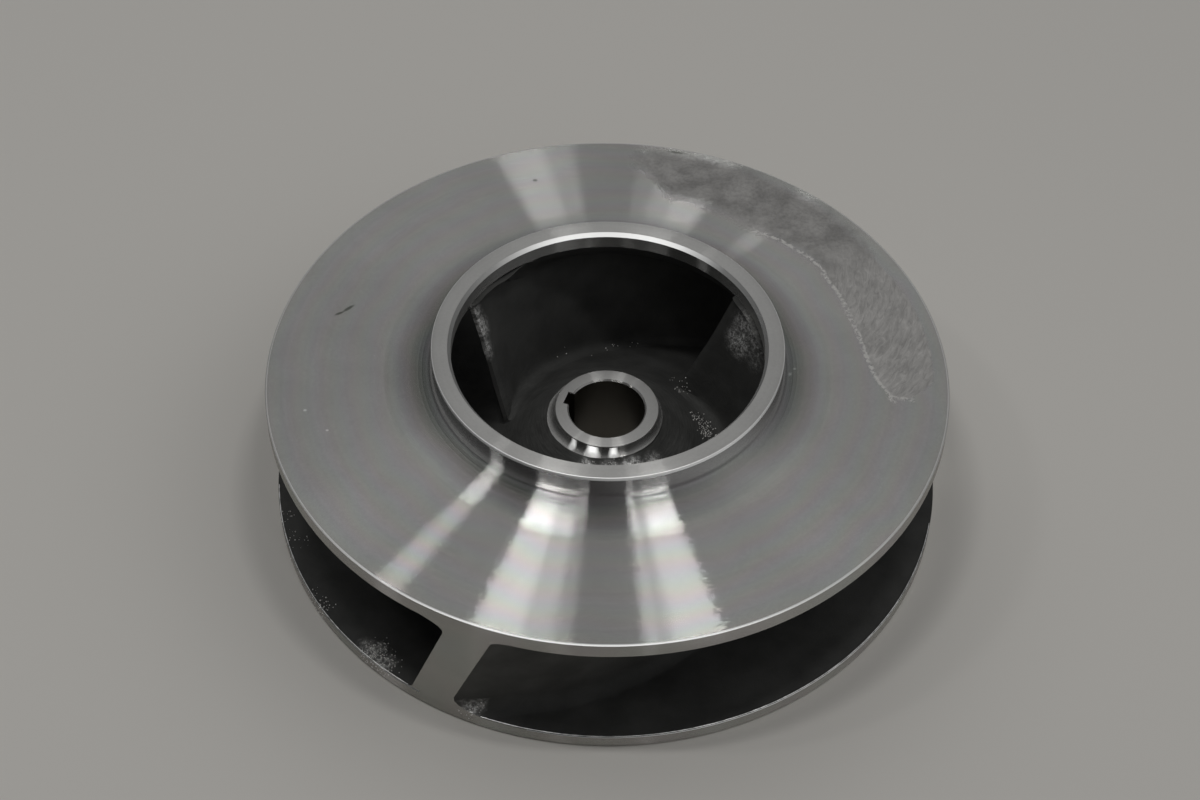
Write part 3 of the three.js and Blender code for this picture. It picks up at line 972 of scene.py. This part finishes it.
def turned_zones(add, at, ring_top):
    """Where on the turned surface a point is: shares that are 1 in a zone and 0 elsewhere."""
    mouth = RING_MOUTH_RADIUS + NEAR
    under_face = (ring_top - EYE_CHAMFER_HEIGHT, ring_top - NEAR)
    rear_heights = (FLOOR_AT_RIM - REAR_EDGE_HALF_HEIGHT, FLOOR_AT_RIM + REAR_EDGE_HALF_HEIGHT)
    ring_face = inside(add, at, (0, FAR), (ring_top - NEAR, FAR))
    nose_face = inside(add, at, (0, NOSE_RADIUS + NEAR), (NOSE_TOP - NEAR, FAR))
    zones = SimpleNamespace(
        faced=add("Math", ring_face, nose_face, operation="MAXIMUM"),
        rim_edge=inside(add, at, (RIM_RADIUS - FILED_AND_LIT_WIDTH, FAR), (FRONT_AT_RIM - FILED_AND_LIT_DEPTH, FAR)),
        ring_edge=inside(add, at, (mouth, RING_RADIUS + NEAR), under_face),
        mouth_edge=inside(add, at, (0, mouth), under_face),
        rear_edge=inside(add, at, (RIM_RADIUS - REAR_EDGE_WIDTH, FAR), rear_heights),
        nose_foot=inside(add, at, (0, FAR), (-FAR, NOSE_TOP - NOSE_HIGHLIGHT_BELOW_TOP)),
        bore=inside(add, at, (0, KEYWAY_FROM_AXIS + KEYWAY_MARGIN),
                    (-FAR, NOSE_TOP - BORE_CHAMFER - NEAR)),
        outside=inside(add, at, (RING_RADIUS - RING_EDGE, FAR), (-FAR, ring_top - RING_EDGE)))
    edges = add("Math", zones.ring_edge, zones.mouth_edge, operation="MAXIMUM")
    zones.edge = add("Math", zones.rim_edge, edges, operation="MAXIMUM")
    hollow = add("MapRange", at.radius, *HOLLOW_STARTS, 0.0, 1.0)
    zones.hollow = add("Math", zones.outside, hollow, operation="MULTIPLY")
    deep = add("MapRange", at.radius, *HOLLOW_DEEPENS, 0.0, 1.0)
    zones.deep = add("Math", zones.outside, deep, operation="MULTIPLY")
    return zones


def turned_colour(add, at, finish):
    """Bright steel with faint rings, stains and specks, and a few dark and light marks."""
    worn = add("Math", add("MapRange", at.rings, *RING_SHADES),
               add("MapRange", at.stains, *STAIN_SHADES), operation="ADD")
    worn = add("Math", worn, add("MapRange", at.specks, *SPECK_SHADES), operation="ADD")
    steel = add("VectorMath", {0: finish.turned, "Scale": worn}, operation="SCALE")
    for strength, code, marks in FACE_MARKS:
        for centre, halves, turn in marks:
            share = add("Math", mark(add, at.place, centre, halves, turn), strength,
                        operation="MULTIPLY")
            steel = add("Mix", {0: share, 6: steel, 7: opaque(linear(code))}, data_type="RGBA")
    return steel


def tool_marks(add, at):
    """Slopes that the tool left: fine ones across its path, and chatter along it."""
    place = add("CombineXYZ", add("Math", at.radius, CHATTER_WIDTH, operation="DIVIDE"),
                add("Math", at.azimuth, CHATTERS_PER_RADIAN, operation="MULTIPLY"),
                add("Math", at.height, CHATTER_WIDTH, operation="DIVIDE"))
    chatter = add("TexNoise", {"Vector": place, "Scale": 1.0, "Detail": 2.0, "Roughness": 0.6})
    return [add("Math", noise, 0.5, operation="SUBTRACT") for noise in (at.grooves, chatter)]


def hollow_lean(add, at, zones):
    """Hollow, fillet and ring run into each other, because the tool rounded them in one pass."""
    up_the_hollow = add("Math", add("MapRange", at.radius, *FILLET_LEANS),
                        add("MapRange", at.radius, *HOLLOW_LEANS), operation="MINIMUM")
    up_the_ring = add("Math", add("MapRange", at.radius, *RING_LEAN_FADES),
                      add("MapRange", at.height, *RING_LEANS), operation="MULTIPLY")
    lean = add("Math", up_the_hollow, up_the_ring, operation="ADD")
    return add("Math", zones.hollow, lean, operation="MULTIPLY")


def satin_and_streaks(add, at, zones, steel, lined, marked):
    """The steel's soft sheen, and the streaks that lamplight draws across the tool's path."""
    satin = add("BsdfPrincipled",
                {"Base Color": steel, "Metallic": 1.0, "Roughness": SATIN_ROUGHNESS,
                 "Normal": marked, "Tangent": at.around, "Anisotropic": SATIN_ANISOTROPY,
                 "Anisotropic Rotation": 0.25})
    spread = add("Math", add("MapRange", zones.deep, 0.0, 1.0, *STREAK_ROUGHNESS),
                 add("MapRange", zones.edge, 0.0, 1.0, 1.0, STREAK_SPREAD_AT_EDGES), operation="MULTIPLY")
    streaks = add("BsdfAnisotropic",
                  {"Color": lined, "Roughness": spread, "Anisotropy": STREAK_ANISOTROPY,
                   "Normal": marked, "Tangent": at.around}, distribution="GGX")
    share = add("MapRange", zones.deep, 0.0, 1.0, *STREAK_SHARES)
    share = add("Math", zones.faced, STREAK_SHARE_FACED - STREAK_SHARES[0], share,
                operation="MULTIPLY_ADD")
    return add("MixShader", share, satin, streaks)


def pale_glints(add, at, fine, lined, along):
    """The evenly spaced grooves break lamplight into pale colours on one side."""
    turn = add("Math", at.pale_clouds, PASTEL_CLOUD_TURN, operation="MULTIPLY")
    phase = add("Math", at.radius, PASTEL_PER_MM, turn, operation="MULTIPLY_ADD")
    swings = []
    for shift in PASTEL_SHIFTS:
        swing = add("Math", add("Math", phase, shift, operation="ADD"), operation="SINE")
        swings.append(add("Math", swing, PASTEL_DEPTH, 1.0, operation="MULTIPLY_ADD"))
    pale = add("VectorMath", lined, add("CombineXYZ", *swings), operation="MULTIPLY")
    slope = add("Math", fine, GROOVE_SLOPES[0], add("MapRange", at.radius, *GLINT_LEANS),
                operation="MULTIPLY_ADD")
    return add("BsdfAnisotropic",
               {"Color": pale, "Roughness": GLINT_ROUGHNESS, "Anisotropy": GLINT_ANISOTROPY,
                "Tangent": at.around,
                "Normal": leaning_normal(add, at.normal, (at.across, slope), along)},
               distribution="GGX")


def streaked_steel(add, at, zones, steel):
    """Turned steel: satin, with lamplight drawn into streaks across the tool's path."""
    fine, chatter = tool_marks(add, at)
    along = (at.around, add("Math", chatter, CHATTER_SLOPE, operation="MULTIPLY"))
    slope = add("MapRange", zones.hollow, 0.0, 1.0, *GROOVE_SLOPES)
    slope = add("Math", fine, slope, hollow_lean(add, at, zones), operation="MULTIPLY_ADD")
    marked = leaning_normal(add, at.normal, (at.across, slope), along)

    # Painted shade: the hollow mirrors darker surroundings, so its colour is darkened outside its streaks
    lost = add("Math", zones.hollow, add("MapRange", at.radius, *HOLLOW_PAINTED_SHADE),
               operation="MULTIPLY")
    unshaded = add("Math", 1.0, lost, operation="SUBTRACT")
    steel = add("VectorMath", {0: steel, "Scale": unshaded}, operation="SCALE")
    lines = add("Math", add("Math", at.lines, 0.5, operation="SUBTRACT"),
                add("MapRange", zones.hollow, 0.0, 1.0, *LINE_DEPTHS), 1.0,
                operation="MULTIPLY_ADD")
    lined = add("VectorMath", {0: steel, "Scale": lines}, operation="SCALE")

    streaked = satin_and_streaks(add, at, zones, steel, lined, marked)
    share = add("Math", zones.outside, GLINT_SHARE, operation="MULTIPLY")
    return add("MixShader", share, streaked, pale_glints(add, at, fine, lined, along))


def filing_and_highlight(add, at, zones):
    """How much of each edge is bare bright steel, partly filed and partly painted highlight: the rim's
    near side, and the mouth's far side, most.
    """
    share = add("Math", zones.ring_edge, FILED_AND_LIT_RING, operation="MULTIPLY")
    for edge, filed_and_lit in ((zones.rim_edge, FILED_AND_LIT_RIM), (zones.mouth_edge, FILED_AND_LIT_MOUTH)):
        share = add("Math", edge, add("MapRange", at.y, *filed_and_lit), share, operation="MULTIPLY_ADD")
    burred = [add("Math", at.azimuth, math.radians(middle), math.radians(half),
                  operation="COMPARE") for middle, half in BURR_REACHES]
    burred = add("Math", *burred, operation="MAXIMUM")
    return add("Math", zones.rear_edge, burred, share, operation="MULTIPLY_ADD")


def nose_highlight_share(add, at, zones):
    """Painted highlight: bright patches at the foot of the nose, where lamplight strikes it."""
    share = 0.0
    for centre, halves, turn in NOSE_HIGHLIGHT_MARKS:
        share = add("Math", share, mark(add, at.place, centre, halves, turn), operation="MAXIMUM")
    return add("Math", share, zones.nose_foot, operation="MULTIPLY")


def ground_patch(add, at, finish, turned):
    """Short strokes where the patch was ground last, dull and spotted elsewhere, a bright lip."""
    depth, last, lip = [add("Attribute", attribute_name=name).outputs["Fac"]
                        for name in ("ground", "ground_last", "ground_lip")]
    swing, starts, ends = [add("MapRange", last, 1.0, 0.0, *values)
                           for values in (GROUND_SWINGS, GROUND_STARTS, GROUND_ENDS)]
    ragged = add("Math", at.ragged, GROUND_RAGGED, -GROUND_RAGGED / 2, operation="MULTIPLY_ADD")
    within = add("MapRange", add("Math", ragged, swing, depth, operation="MULTIPLY_ADD"),
                 starts, ends, 0.0, 1.0)

    round_the_patch = add("Math", at.azimuth, STROKE_RADIUS, operation="MULTIPLY")
    strokes = add("Mapping", {"Vector": add("CombineXYZ", at.radius, round_the_patch),
                              "Rotation": (0, 0, math.radians(STROKE_TURN)),
                              "Scale": (*STROKE_SIZE, 1.0)}, vector_type="TEXTURE")
    strokes = add("TexNoise", {"Vector": strokes, "Scale": 1.0, "Detail": 3.0, "Roughness": 0.6,
                               "Distortion": STROKE_BEND})
    bright = add("Math", add("MapRange", strokes, *STROKE_SHADES),
                 add("MapRange", at.ground_clouds, *BRIGHT_CLOUD_SHADES), operation="MULTIPLY")
    dull = add("Math", add("MapRange", at.ground_specks, *DULL_SPECK_SHADES),
               add("MapRange", at.ground_clouds, *DULL_CLOUD_SHADES), operation="MULTIPLY")
    shade = add("Mix", {0: last, 2: dull, 3: bright}, data_type="FLOAT")
    colour = add("VectorMath", {0: finish.ground, "Scale": shade}, operation="SCALE")
    relief = add("Math", at.ground_specks, 0.5, operation="MULTIPLY")
    relief = add("Math", strokes, last, relief, operation="MULTIPLY_ADD")
    bump = add("Bump", {"Height": relief, "Strength": 1.0, "Distance": GROUND_RELIEF * MM})
    ground = add("BsdfPrincipled", {"Base Color": colour, "Metallic": 0.85, "Roughness": 0.5,
                                    "Normal": bump})
    lip = add("Math", lip, add("MapRange", at.ground_specks, *LIP_SHADES), operation="MULTIPLY")
    raised = add("BsdfPrincipled", {"Base Color": opaque(linear(LIP_COLOUR)), "Metallic": 0.85,
                                    "Roughness": 0.4, "Normal": bump})
    patched = add("MixShader", within, turned, ground)
    return add("MixShader", add("MapRange", lip, *LIP_EDGE, 0.0, 1.0), patched, raised)


def turned_material(finish, ring_top):
    """Stainless steel turned on a lathe.

    A satin metal that mirrors the room softly. Its rings of fine grooves draw each lamp into a
    streak that runs from the axis outward, tinted in pale colours.
    """
    made, add = new_material("stainless_steel_turned")
    at = lathe_place(add)
    add_tool_path(add, at)
    add_patterns(add, at, TURNED_PATTERNS)
    zones = turned_zones(add, at, ring_top)
    turned = streaked_steel(add, at, zones, turned_colour(add, at, finish))
    # Partly painted highlight: bright bare steel on the edges
    turned = add("MixShader", filing_and_highlight(add, at, zones), turned,
                 bare_steel_and_highlight(add, at.normal, *FILED_AND_LIT))
    # Painted highlight at the foot of the nose
    turned = add("MixShader", nose_highlight_share(add, at, zones), turned,
                 bare_steel_and_highlight(add, at.normal, *NOSE_HIGHLIGHT))
    reamed = add("BsdfPrincipled", {"Base Color": opaque(linear(REAMED_COLOUR)), "Metallic": 1.0,
                                    "Roughness": 0.38})
    turned = add("MixShader", zones.bore, turned, reamed)
    add("OutputMaterial", {"Surface": ground_patch(add, at, finish, turned)})
    return made


def cast_material(finish):
    """Stainless steel as cast in sand.

    A dark matt skin with the grain of the mould, cloudy, and bright in places: partly rubbed, partly
    painted light on flanks that face the lamps.
    """
    made, add = new_material("stainless_steel_as_cast")
    at = lathe_place(add)
    add_patterns(add, at, SKIN_PATTERNS)
    place = add("CombineXYZ", add("Math", at.radius, SWIRL_WIDTH, operation="DIVIDE"),
                add("Math", at.azimuth, SWIRLS_PER_RADIAN, operation="MULTIPLY"),
                add("Math", at.height, SWIRL_HEIGHT, operation="DIVIDE"))
    swirl = add("TexNoise", {"Vector": place, "Scale": 1.0, "Detail": 3.0, "Roughness": 0.6,
                             "Distortion": 0.4})
    on_hub = add("Math", add("MapRange", at.radius, *SWIRL_RADII, 0.0, 1.0),
                 add("MapRange", at.height, *SWIRL_HEIGHTS, 0.0, 1.0), operation="MULTIPLY")
    swirled = add("Math", on_hub, add("MapRange", swirl, *SWIRL_SHADES), 1.0,
                  operation="MULTIPLY_ADD")
    shade = add("Math", add("MapRange", at.clouds, *SKIN_SHADES), swirled, operation="MULTIPLY")
    colour = add("VectorMath", {0: finish.cast, "Scale": shade}, operation="SCALE")
    # Partly painted light: the rubbed and lit spots get a lighter colour and bare steel
    rubbed = add("Math", add("Attribute", attribute_name="rubbed").outputs["Fac"],
                 add("MapRange", at.coarse, *RUBBED_AND_LIT_SHADES), operation="MULTIPLY", use_clamp=True)
    colour = add("Mix", {0: rubbed, 6: colour, 7: opaque(linear(RUBBED_AND_LIT_COLOUR))}, data_type="RGBA")
    relief = add("Math", swirl, on_hub, at.grain, operation="MULTIPLY_ADD")
    bump = add("Bump", {"Height": relief, "Strength": 1.0, "Distance": SKIN_RELIEF * MM})
    skin = add("BsdfPrincipled", {"Base Color": colour, "Metallic": 0.4, "Roughness": 0.8,
                                  "Normal": bump})
    bright = add("Math", rubbed, add("MapRange", at.grain, *BARE_AND_LIT_SHADES), operation="MULTIPLY")
    normal = add("NewGeometry").outputs["Normal"]
    skin = add("MixShader", bright, skin, bare_steel_and_highlight(add, normal, *RUBBED_AND_LIT))
    add("OutputMaterial", {"Surface": skin})
    return made


def burr_material():
    """Stainless steel torn up by the tool: a bare bright edge."""
    made, add = new_material("stainless_steel_burr")
    normal = add("NewGeometry").outputs["Normal"]
    add("OutputMaterial", {"Surface": bare_steel_and_highlight(add, normal, *TORN)})
    return made


def grain_material():
    """Grains of stainless steel grit, bare and bright, so that they catch the light."""
    made, add = new_material("stainless_steel_bare_grains")
    bare = add("BsdfPrincipled", {"Base Color": opaque(linear(GRIT_COLOUR)), "Metallic": 0.3,
                                  "Roughness": 0.4})
    add("OutputMaterial", {"Surface": bare})
    return made


def floor_material(finish):
    """Painted studio board: matt, with no pattern."""
    made, add = new_material("studio_board")
    board = add("BsdfPrincipled", {"Base Color": opaque(finish.floor), "Roughness": 0.9,
                                   "Specular IOR Level": 0.2})
    add("OutputMaterial", {"Surface": board})
    return made


# Operators

class IMPELLER_OT_casting(bpy.types.Operator):
    """Casts the shrouds, hub and vanes in one, and turns them to size"""

    bl_idname = "impeller.casting"
    bl_label = "Casting"

    def execute(self, context):
        sizes, finish = context.scene.impeller_sizes, context.scene.impeller_finish
        rim, top = sizes.rim_radius / MM, sizes.ring_top / MM
        cast, turned = cast_material(finish), turned_material(finish, top)
        rear = turned_solid("rear_casting", rear_casting_outline(rim), CAST_SPACING,
                            sizes, cast, sizes.relief)
        front = turned_solid("front_casting", front_casting_outline(rim, top), CAST_SPACING,
                             sizes, cast, sizes.relief)
        vanes = facing_out(through_tree(
            facing_out(vane_blank(rim)), "vanes", round_the_axis_tree(), {
                "Count": sizes.vane_count,
                "Relief": sizes.relief,
                "Relief Width": sizes.relief_width,
                "Material": cast,
            }))
        lean_hub(rear.data)
        envelope = turned_solid("turned_envelope", turned_outline(rim, top), TURNED_SPACING,
                                sizes, turned, face_spacing=FRONT_FACE_SPACING)
        leave_tips_cast(envelope.data, cast)
        key = key_cutter(turned)
        casting = combine(rear, (
            (front, "UNION"), (vanes, "UNION"), (envelope, "INTERSECT"), (key, "DIFFERENCE"),
        ), "impeller")
        if len(casting.data.polygons) == 0:
            raise RuntimeError("the solids of the casting did not join")
        wear(casting.data)
        smooth_shading(casting.data)
        finish_piece(casting)
        return {"FINISHED"}


def lean_hub(mesh):
    """The cast hub stands a little higher on one side than the turned nose."""
    places = vertex_places(mesh)
    radius = np.hypot(places[:, 0], places[:, 1])
    azimuth = np.arctan2(places[:, 1], places[:, 0]) - math.radians(HUB_LEAN_AZIMUTH)
    share = smooth(radius, NOSE_STEP_RADIUS + HUB_LEAN_REACH, NOSE_STEP_RADIUS)
    share *= places[:, 2] > FLOOR_AT_RIM
    places[:, 2] += HUB_LEAN * np.cos(azimuth) * share
    move_vertices(mesh, places)


def leave_tips_cast(mesh, material):
    """Nothing is turned inside the eye between its bored band and the nose."""
    mesh.materials.append(material)
    for face in mesh.polygons:
        radius = math.hypot(face.center.x, face.center.y) / MM
        height = face.center.z / MM
        inside = NOSE_RADIUS + NOSE_FILLET - CAST_STEP / 2 < radius < EYE_RADIUS - CAST_STEP / 2
        if inside and NOSE_FILLET_BOTTOM + CAST_STEP / 2 < height < EYE_BORE_BOTTOM + CAST_STEP:
            face.material_index = 1


def wear(mesh):
    """Grinds the patch on the front face, and marks where the skin is gritty, and where it is rubbed
    bright, partly painted light.
    """
    places = vertex_places(mesh)
    radius = np.hypot(places[:, 0], places[:, 1])
    azimuth = np.degrees(np.arctan2(places[:, 1], places[:, 0]))
    on_front = (places[:, 2] > FRONT_AT_RIM - CAST_STEP) & (radius > SHOULDER_RADIUS)
    patch = np.array(GROUND_PATCH)
    inner = radius - np.interp(azimuth, patch[:, 0], patch[:, 1])
    outer = np.interp(azimuth, patch[:, 0], patch[:, 2]) - radius
    along = np.minimum(azimuth - patch[0, 0], patch[-1, 0] - azimuth) * np.radians(radius)
    depth = np.where(on_front, np.minimum(np.minimum(inner, outer), along), GROUND_NOWHERE)
    last = smooth(azimuth, *GROUND_LAST)
    start = np.minimum(np.abs(inner), np.abs(azimuth - patch[0, 0]) * np.radians(radius))
    lip = np.exp(-(start / GROUND_LIP_HALF_WIDTH) ** 2) * (depth > GROUND_LIP_OUTSIDE)
    lip *= smooth(azimuth, *GROUND_LIP_END)
    places[:, 2] += GROUND_LIP * lip - GROUND_DEPTH * smooth(depth, *GROUND_EDGE)
    move_vertices(mesh, places)
    set_attribute(mesh, "ground", np.clip(depth / GROUND_REACH, -1, 1))
    set_attribute(mesh, "ground_last", last)
    set_attribute(mesh, "ground_lip", lip)
    # Partly painted light: where the skin is drawn lighter
    set_attribute(mesh, "rubbed", spots_at(places, RUBBED_AND_LIT_SPOTS))
    inside = places[:, 2] > FLOOR_AT_RIM / 2
    set_attribute(mesh, "grit", spots_at(places, GRIT_SPOTS) * inside)


def spots_at(places, spots):
    """How much of the spots reaches each point, 0 to 1."""
    share = np.zeros(len(places))
    for x, y, z, reach, strength in spots:
        distance = np.linalg.norm(places - np.array([x, y, z]), axis=1)
        share = np.maximum(share, strength * smooth(distance, *[reach * fade for fade in SPOT_FADE]))
    return share


def key_cutter(material):
    """A bar as wide as the key, through the whole bore."""
    half = KEY_WIDTH / 2
    length = NOSE_TOP + MACHINING_STOCK
    turn = math.radians(KEYWAY_AZIMUTH)
    corners = []
    for height in (-MACHINING_STOCK, length):
        for out, side in ((0, -half), (KEYWAY_FROM_AXIS, -half), (KEYWAY_FROM_AXIS, half), (0, half)):
            corners.append((out * math.cos(turn) - side * math.sin(turn),
                            out * math.sin(turn) + side * math.cos(turn), height))
    faces = [(3, 2, 1, 0), (4, 5, 6, 7), (0, 1, 5, 4), (1, 2, 6, 5), (2, 3, 7, 6), (3, 0, 4, 7)]
    cutter = mesh_object("key_bar", corners, (), faces)
    cutter.data.materials.append(material)
    return cutter


class IMPELLER_OT_grit(bpy.types.Operator):
    """Scatters bright grains where grit sticks to the casting skin"""

    bl_idname = "impeller.grit"
    bl_label = "Grit"

    def execute(self, context):
        casting = bpy.data.objects.get("impeller")
        if casting is None:
            raise RuntimeError("the casting is made first")
        seat = casting.copy()
        seat.data = casting.data.copy()
        context.scene.collection.objects.link(seat)
        grit = through_tree(seat, "grit", grit_tree(), {
            "Grains Per Square Metre": GRAINS_PER_SQUARE_METRE,
            "Smallest": GRAIN_SMALLEST * MM,
            "Largest": GRAIN_LARGEST * MM,
            "Seed": GRAIN_SEED,
            "Material": grain_material(),
        })
        finish_piece(grit)
        return {"FINISHED"}


class IMPELLER_OT_burr(bpy.types.Operator):
    """Leaves the burr that the lathe raised on the rear rim's upper edge"""

    bl_idname = "impeller.burr"
    bl_label = "Rim burr"

    def execute(self, context):
        rim = context.scene.impeller_sizes.rim_radius / MM
        turns = np.radians(np.arange(*BURR_AZIMUTHS, BURR_STEP))
        radius = BURR_RADIUS / RIM_RADIUS * rim
        line = [(radius * math.cos(t), radius * math.sin(t), FLOOR_AT_RIM + BURR_THICKNESS / 2)
                for t in turns]
        seat = mesh_object("burr_line", line, [(i, i + 1) for i in range(len(line) - 1)])
        burr = through_tree(seat, "rim_burr", burr_tree(), {
            "Thickness": BURR_THICKNESS * MM,
            "Unevenness": BURR_UNEVENNESS * MM,
            "Material": burr_material(),
        })
        finish_piece(burr)
        return {"FINISHED"}


class IMPELLER_OT_stage(bpy.types.Operator):
    """Sets the floor, the lamps, the surroundings and the camera"""

    bl_idname = "impeller.stage"
    bl_label = "Stage"

    def execute(self, context):
        scene = context.scene
        finish, stage = scene.impeller_finish, scene.impeller_stage
        half = FLOOR_SIDE / 2 / MM
        gap = -FLOOR_GAP / MM
        floor = mesh_object("floor", [(-half, -half, gap), (half, -half, gap),
                                      (half, half, gap), (-half, half, gap)],
                            (), [(0, 1, 2, 3)])
        floor.data.materials.append(floor_material(finish))
        for name, place, (width, length), strength in LAMPS:
            light = bpy.data.lights.new(name, "AREA")
            light.shape = "RECTANGLE"
            light.size, light.size_y = width, length
            light.energy = strength * stage.lamp_strength * math.pi * width * length
            lamp = bpy.data.objects.new(name, light)
            lamp.location = place
            scene.collection.objects.link(lamp)
        scene.world = surroundings(stage.sky_strength)
        lens = bpy.data.cameras.new("camera")
        lens.lens, lens.sensor_width = CAMERA_LENS, CAMERA_SENSOR
        camera = bpy.data.objects.new("camera", lens)
        camera.location = (0, -stage.camera_distance, stage.camera_height)
        camera.rotation_euler = [math.radians(turn) for turn in CAMERA_TURN]
        scene.collection.objects.link(camera)
        scene.camera = camera
        scene.view_settings.view_transform = "Standard"
        return {"FINISHED"}


def surroundings(strength):
    """A soft hall of light: a few wide glows that fade into each other."""
    world = bpy.data.worlds.new("surroundings")
    world.use_nodes = True
    world.node_tree.nodes.clear()
    add = partial(add_node, world.node_tree)
    toward = add("TexCoord").outputs["Generated"]
    level = 0.0
    for azimuth, elevation, sharpness, glow in GLOWS:
        turn, rise = math.radians(azimuth), math.radians(elevation)
        centre = (math.cos(rise) * math.cos(turn), math.cos(rise) * math.sin(turn), math.sin(rise))
        near = add("VectorMath", toward, centre, operation="DOT_PRODUCT")
        fall = add("Math", near, sharpness, -sharpness, operation="MULTIPLY_ADD")
        fall = add("Math", fall, operation="EXPONENT")
        level = add("Math", fall, glow, level, operation="MULTIPLY_ADD")
    level = add("Math", level, strength, operation="MULTIPLY")
    add("OutputWorld", add("Background", opaque(GLOW_COLOUR), level))
    return world


class IMPELLER_PT_build(bpy.types.Panel):
    """Lists the steps that build the impeller"""

    bl_idname = "IMPELLER_PT_build"
    bl_label = "Impeller"
    bl_space_type = "VIEW_3D"
    bl_region_type = "UI"
    bl_category = "Impeller"

    def draw(self, context):
        for step in OPERATORS:
            self.layout.operator(step.bl_idname)


OPERATORS = (IMPELLER_OT_casting, IMPELLER_OT_grit, IMPELLER_OT_burr, IMPELLER_OT_stage)
GROUPS = {
    "impeller_sizes": ImpellerSizes,
    "impeller_finish": ImpellerFinish,
    "impeller_stage": ImpellerStage,
}
CLASSES = (*GROUPS.values(), *OPERATORS, IMPELLER_PT_build)


def register():
    for each in CLASSES:
        bpy.utils.register_class(each)
    for name, group in GROUPS.items():
        setattr(bpy.types.Scene, name, bpy.props.PointerProperty(type=group))


def unregister():
    for name in GROUPS:
        delattr(bpy.types.Scene, name)
    for each in reversed(CLASSES):
        bpy.utils.unregister_class(each)


def main():
    register()
    bpy.ops.impeller.casting()
    bpy.ops.impeller.grit()
    bpy.ops.impeller.burr()
    bpy.ops.impeller.stage()


if __name__ == "__main__":
    main()
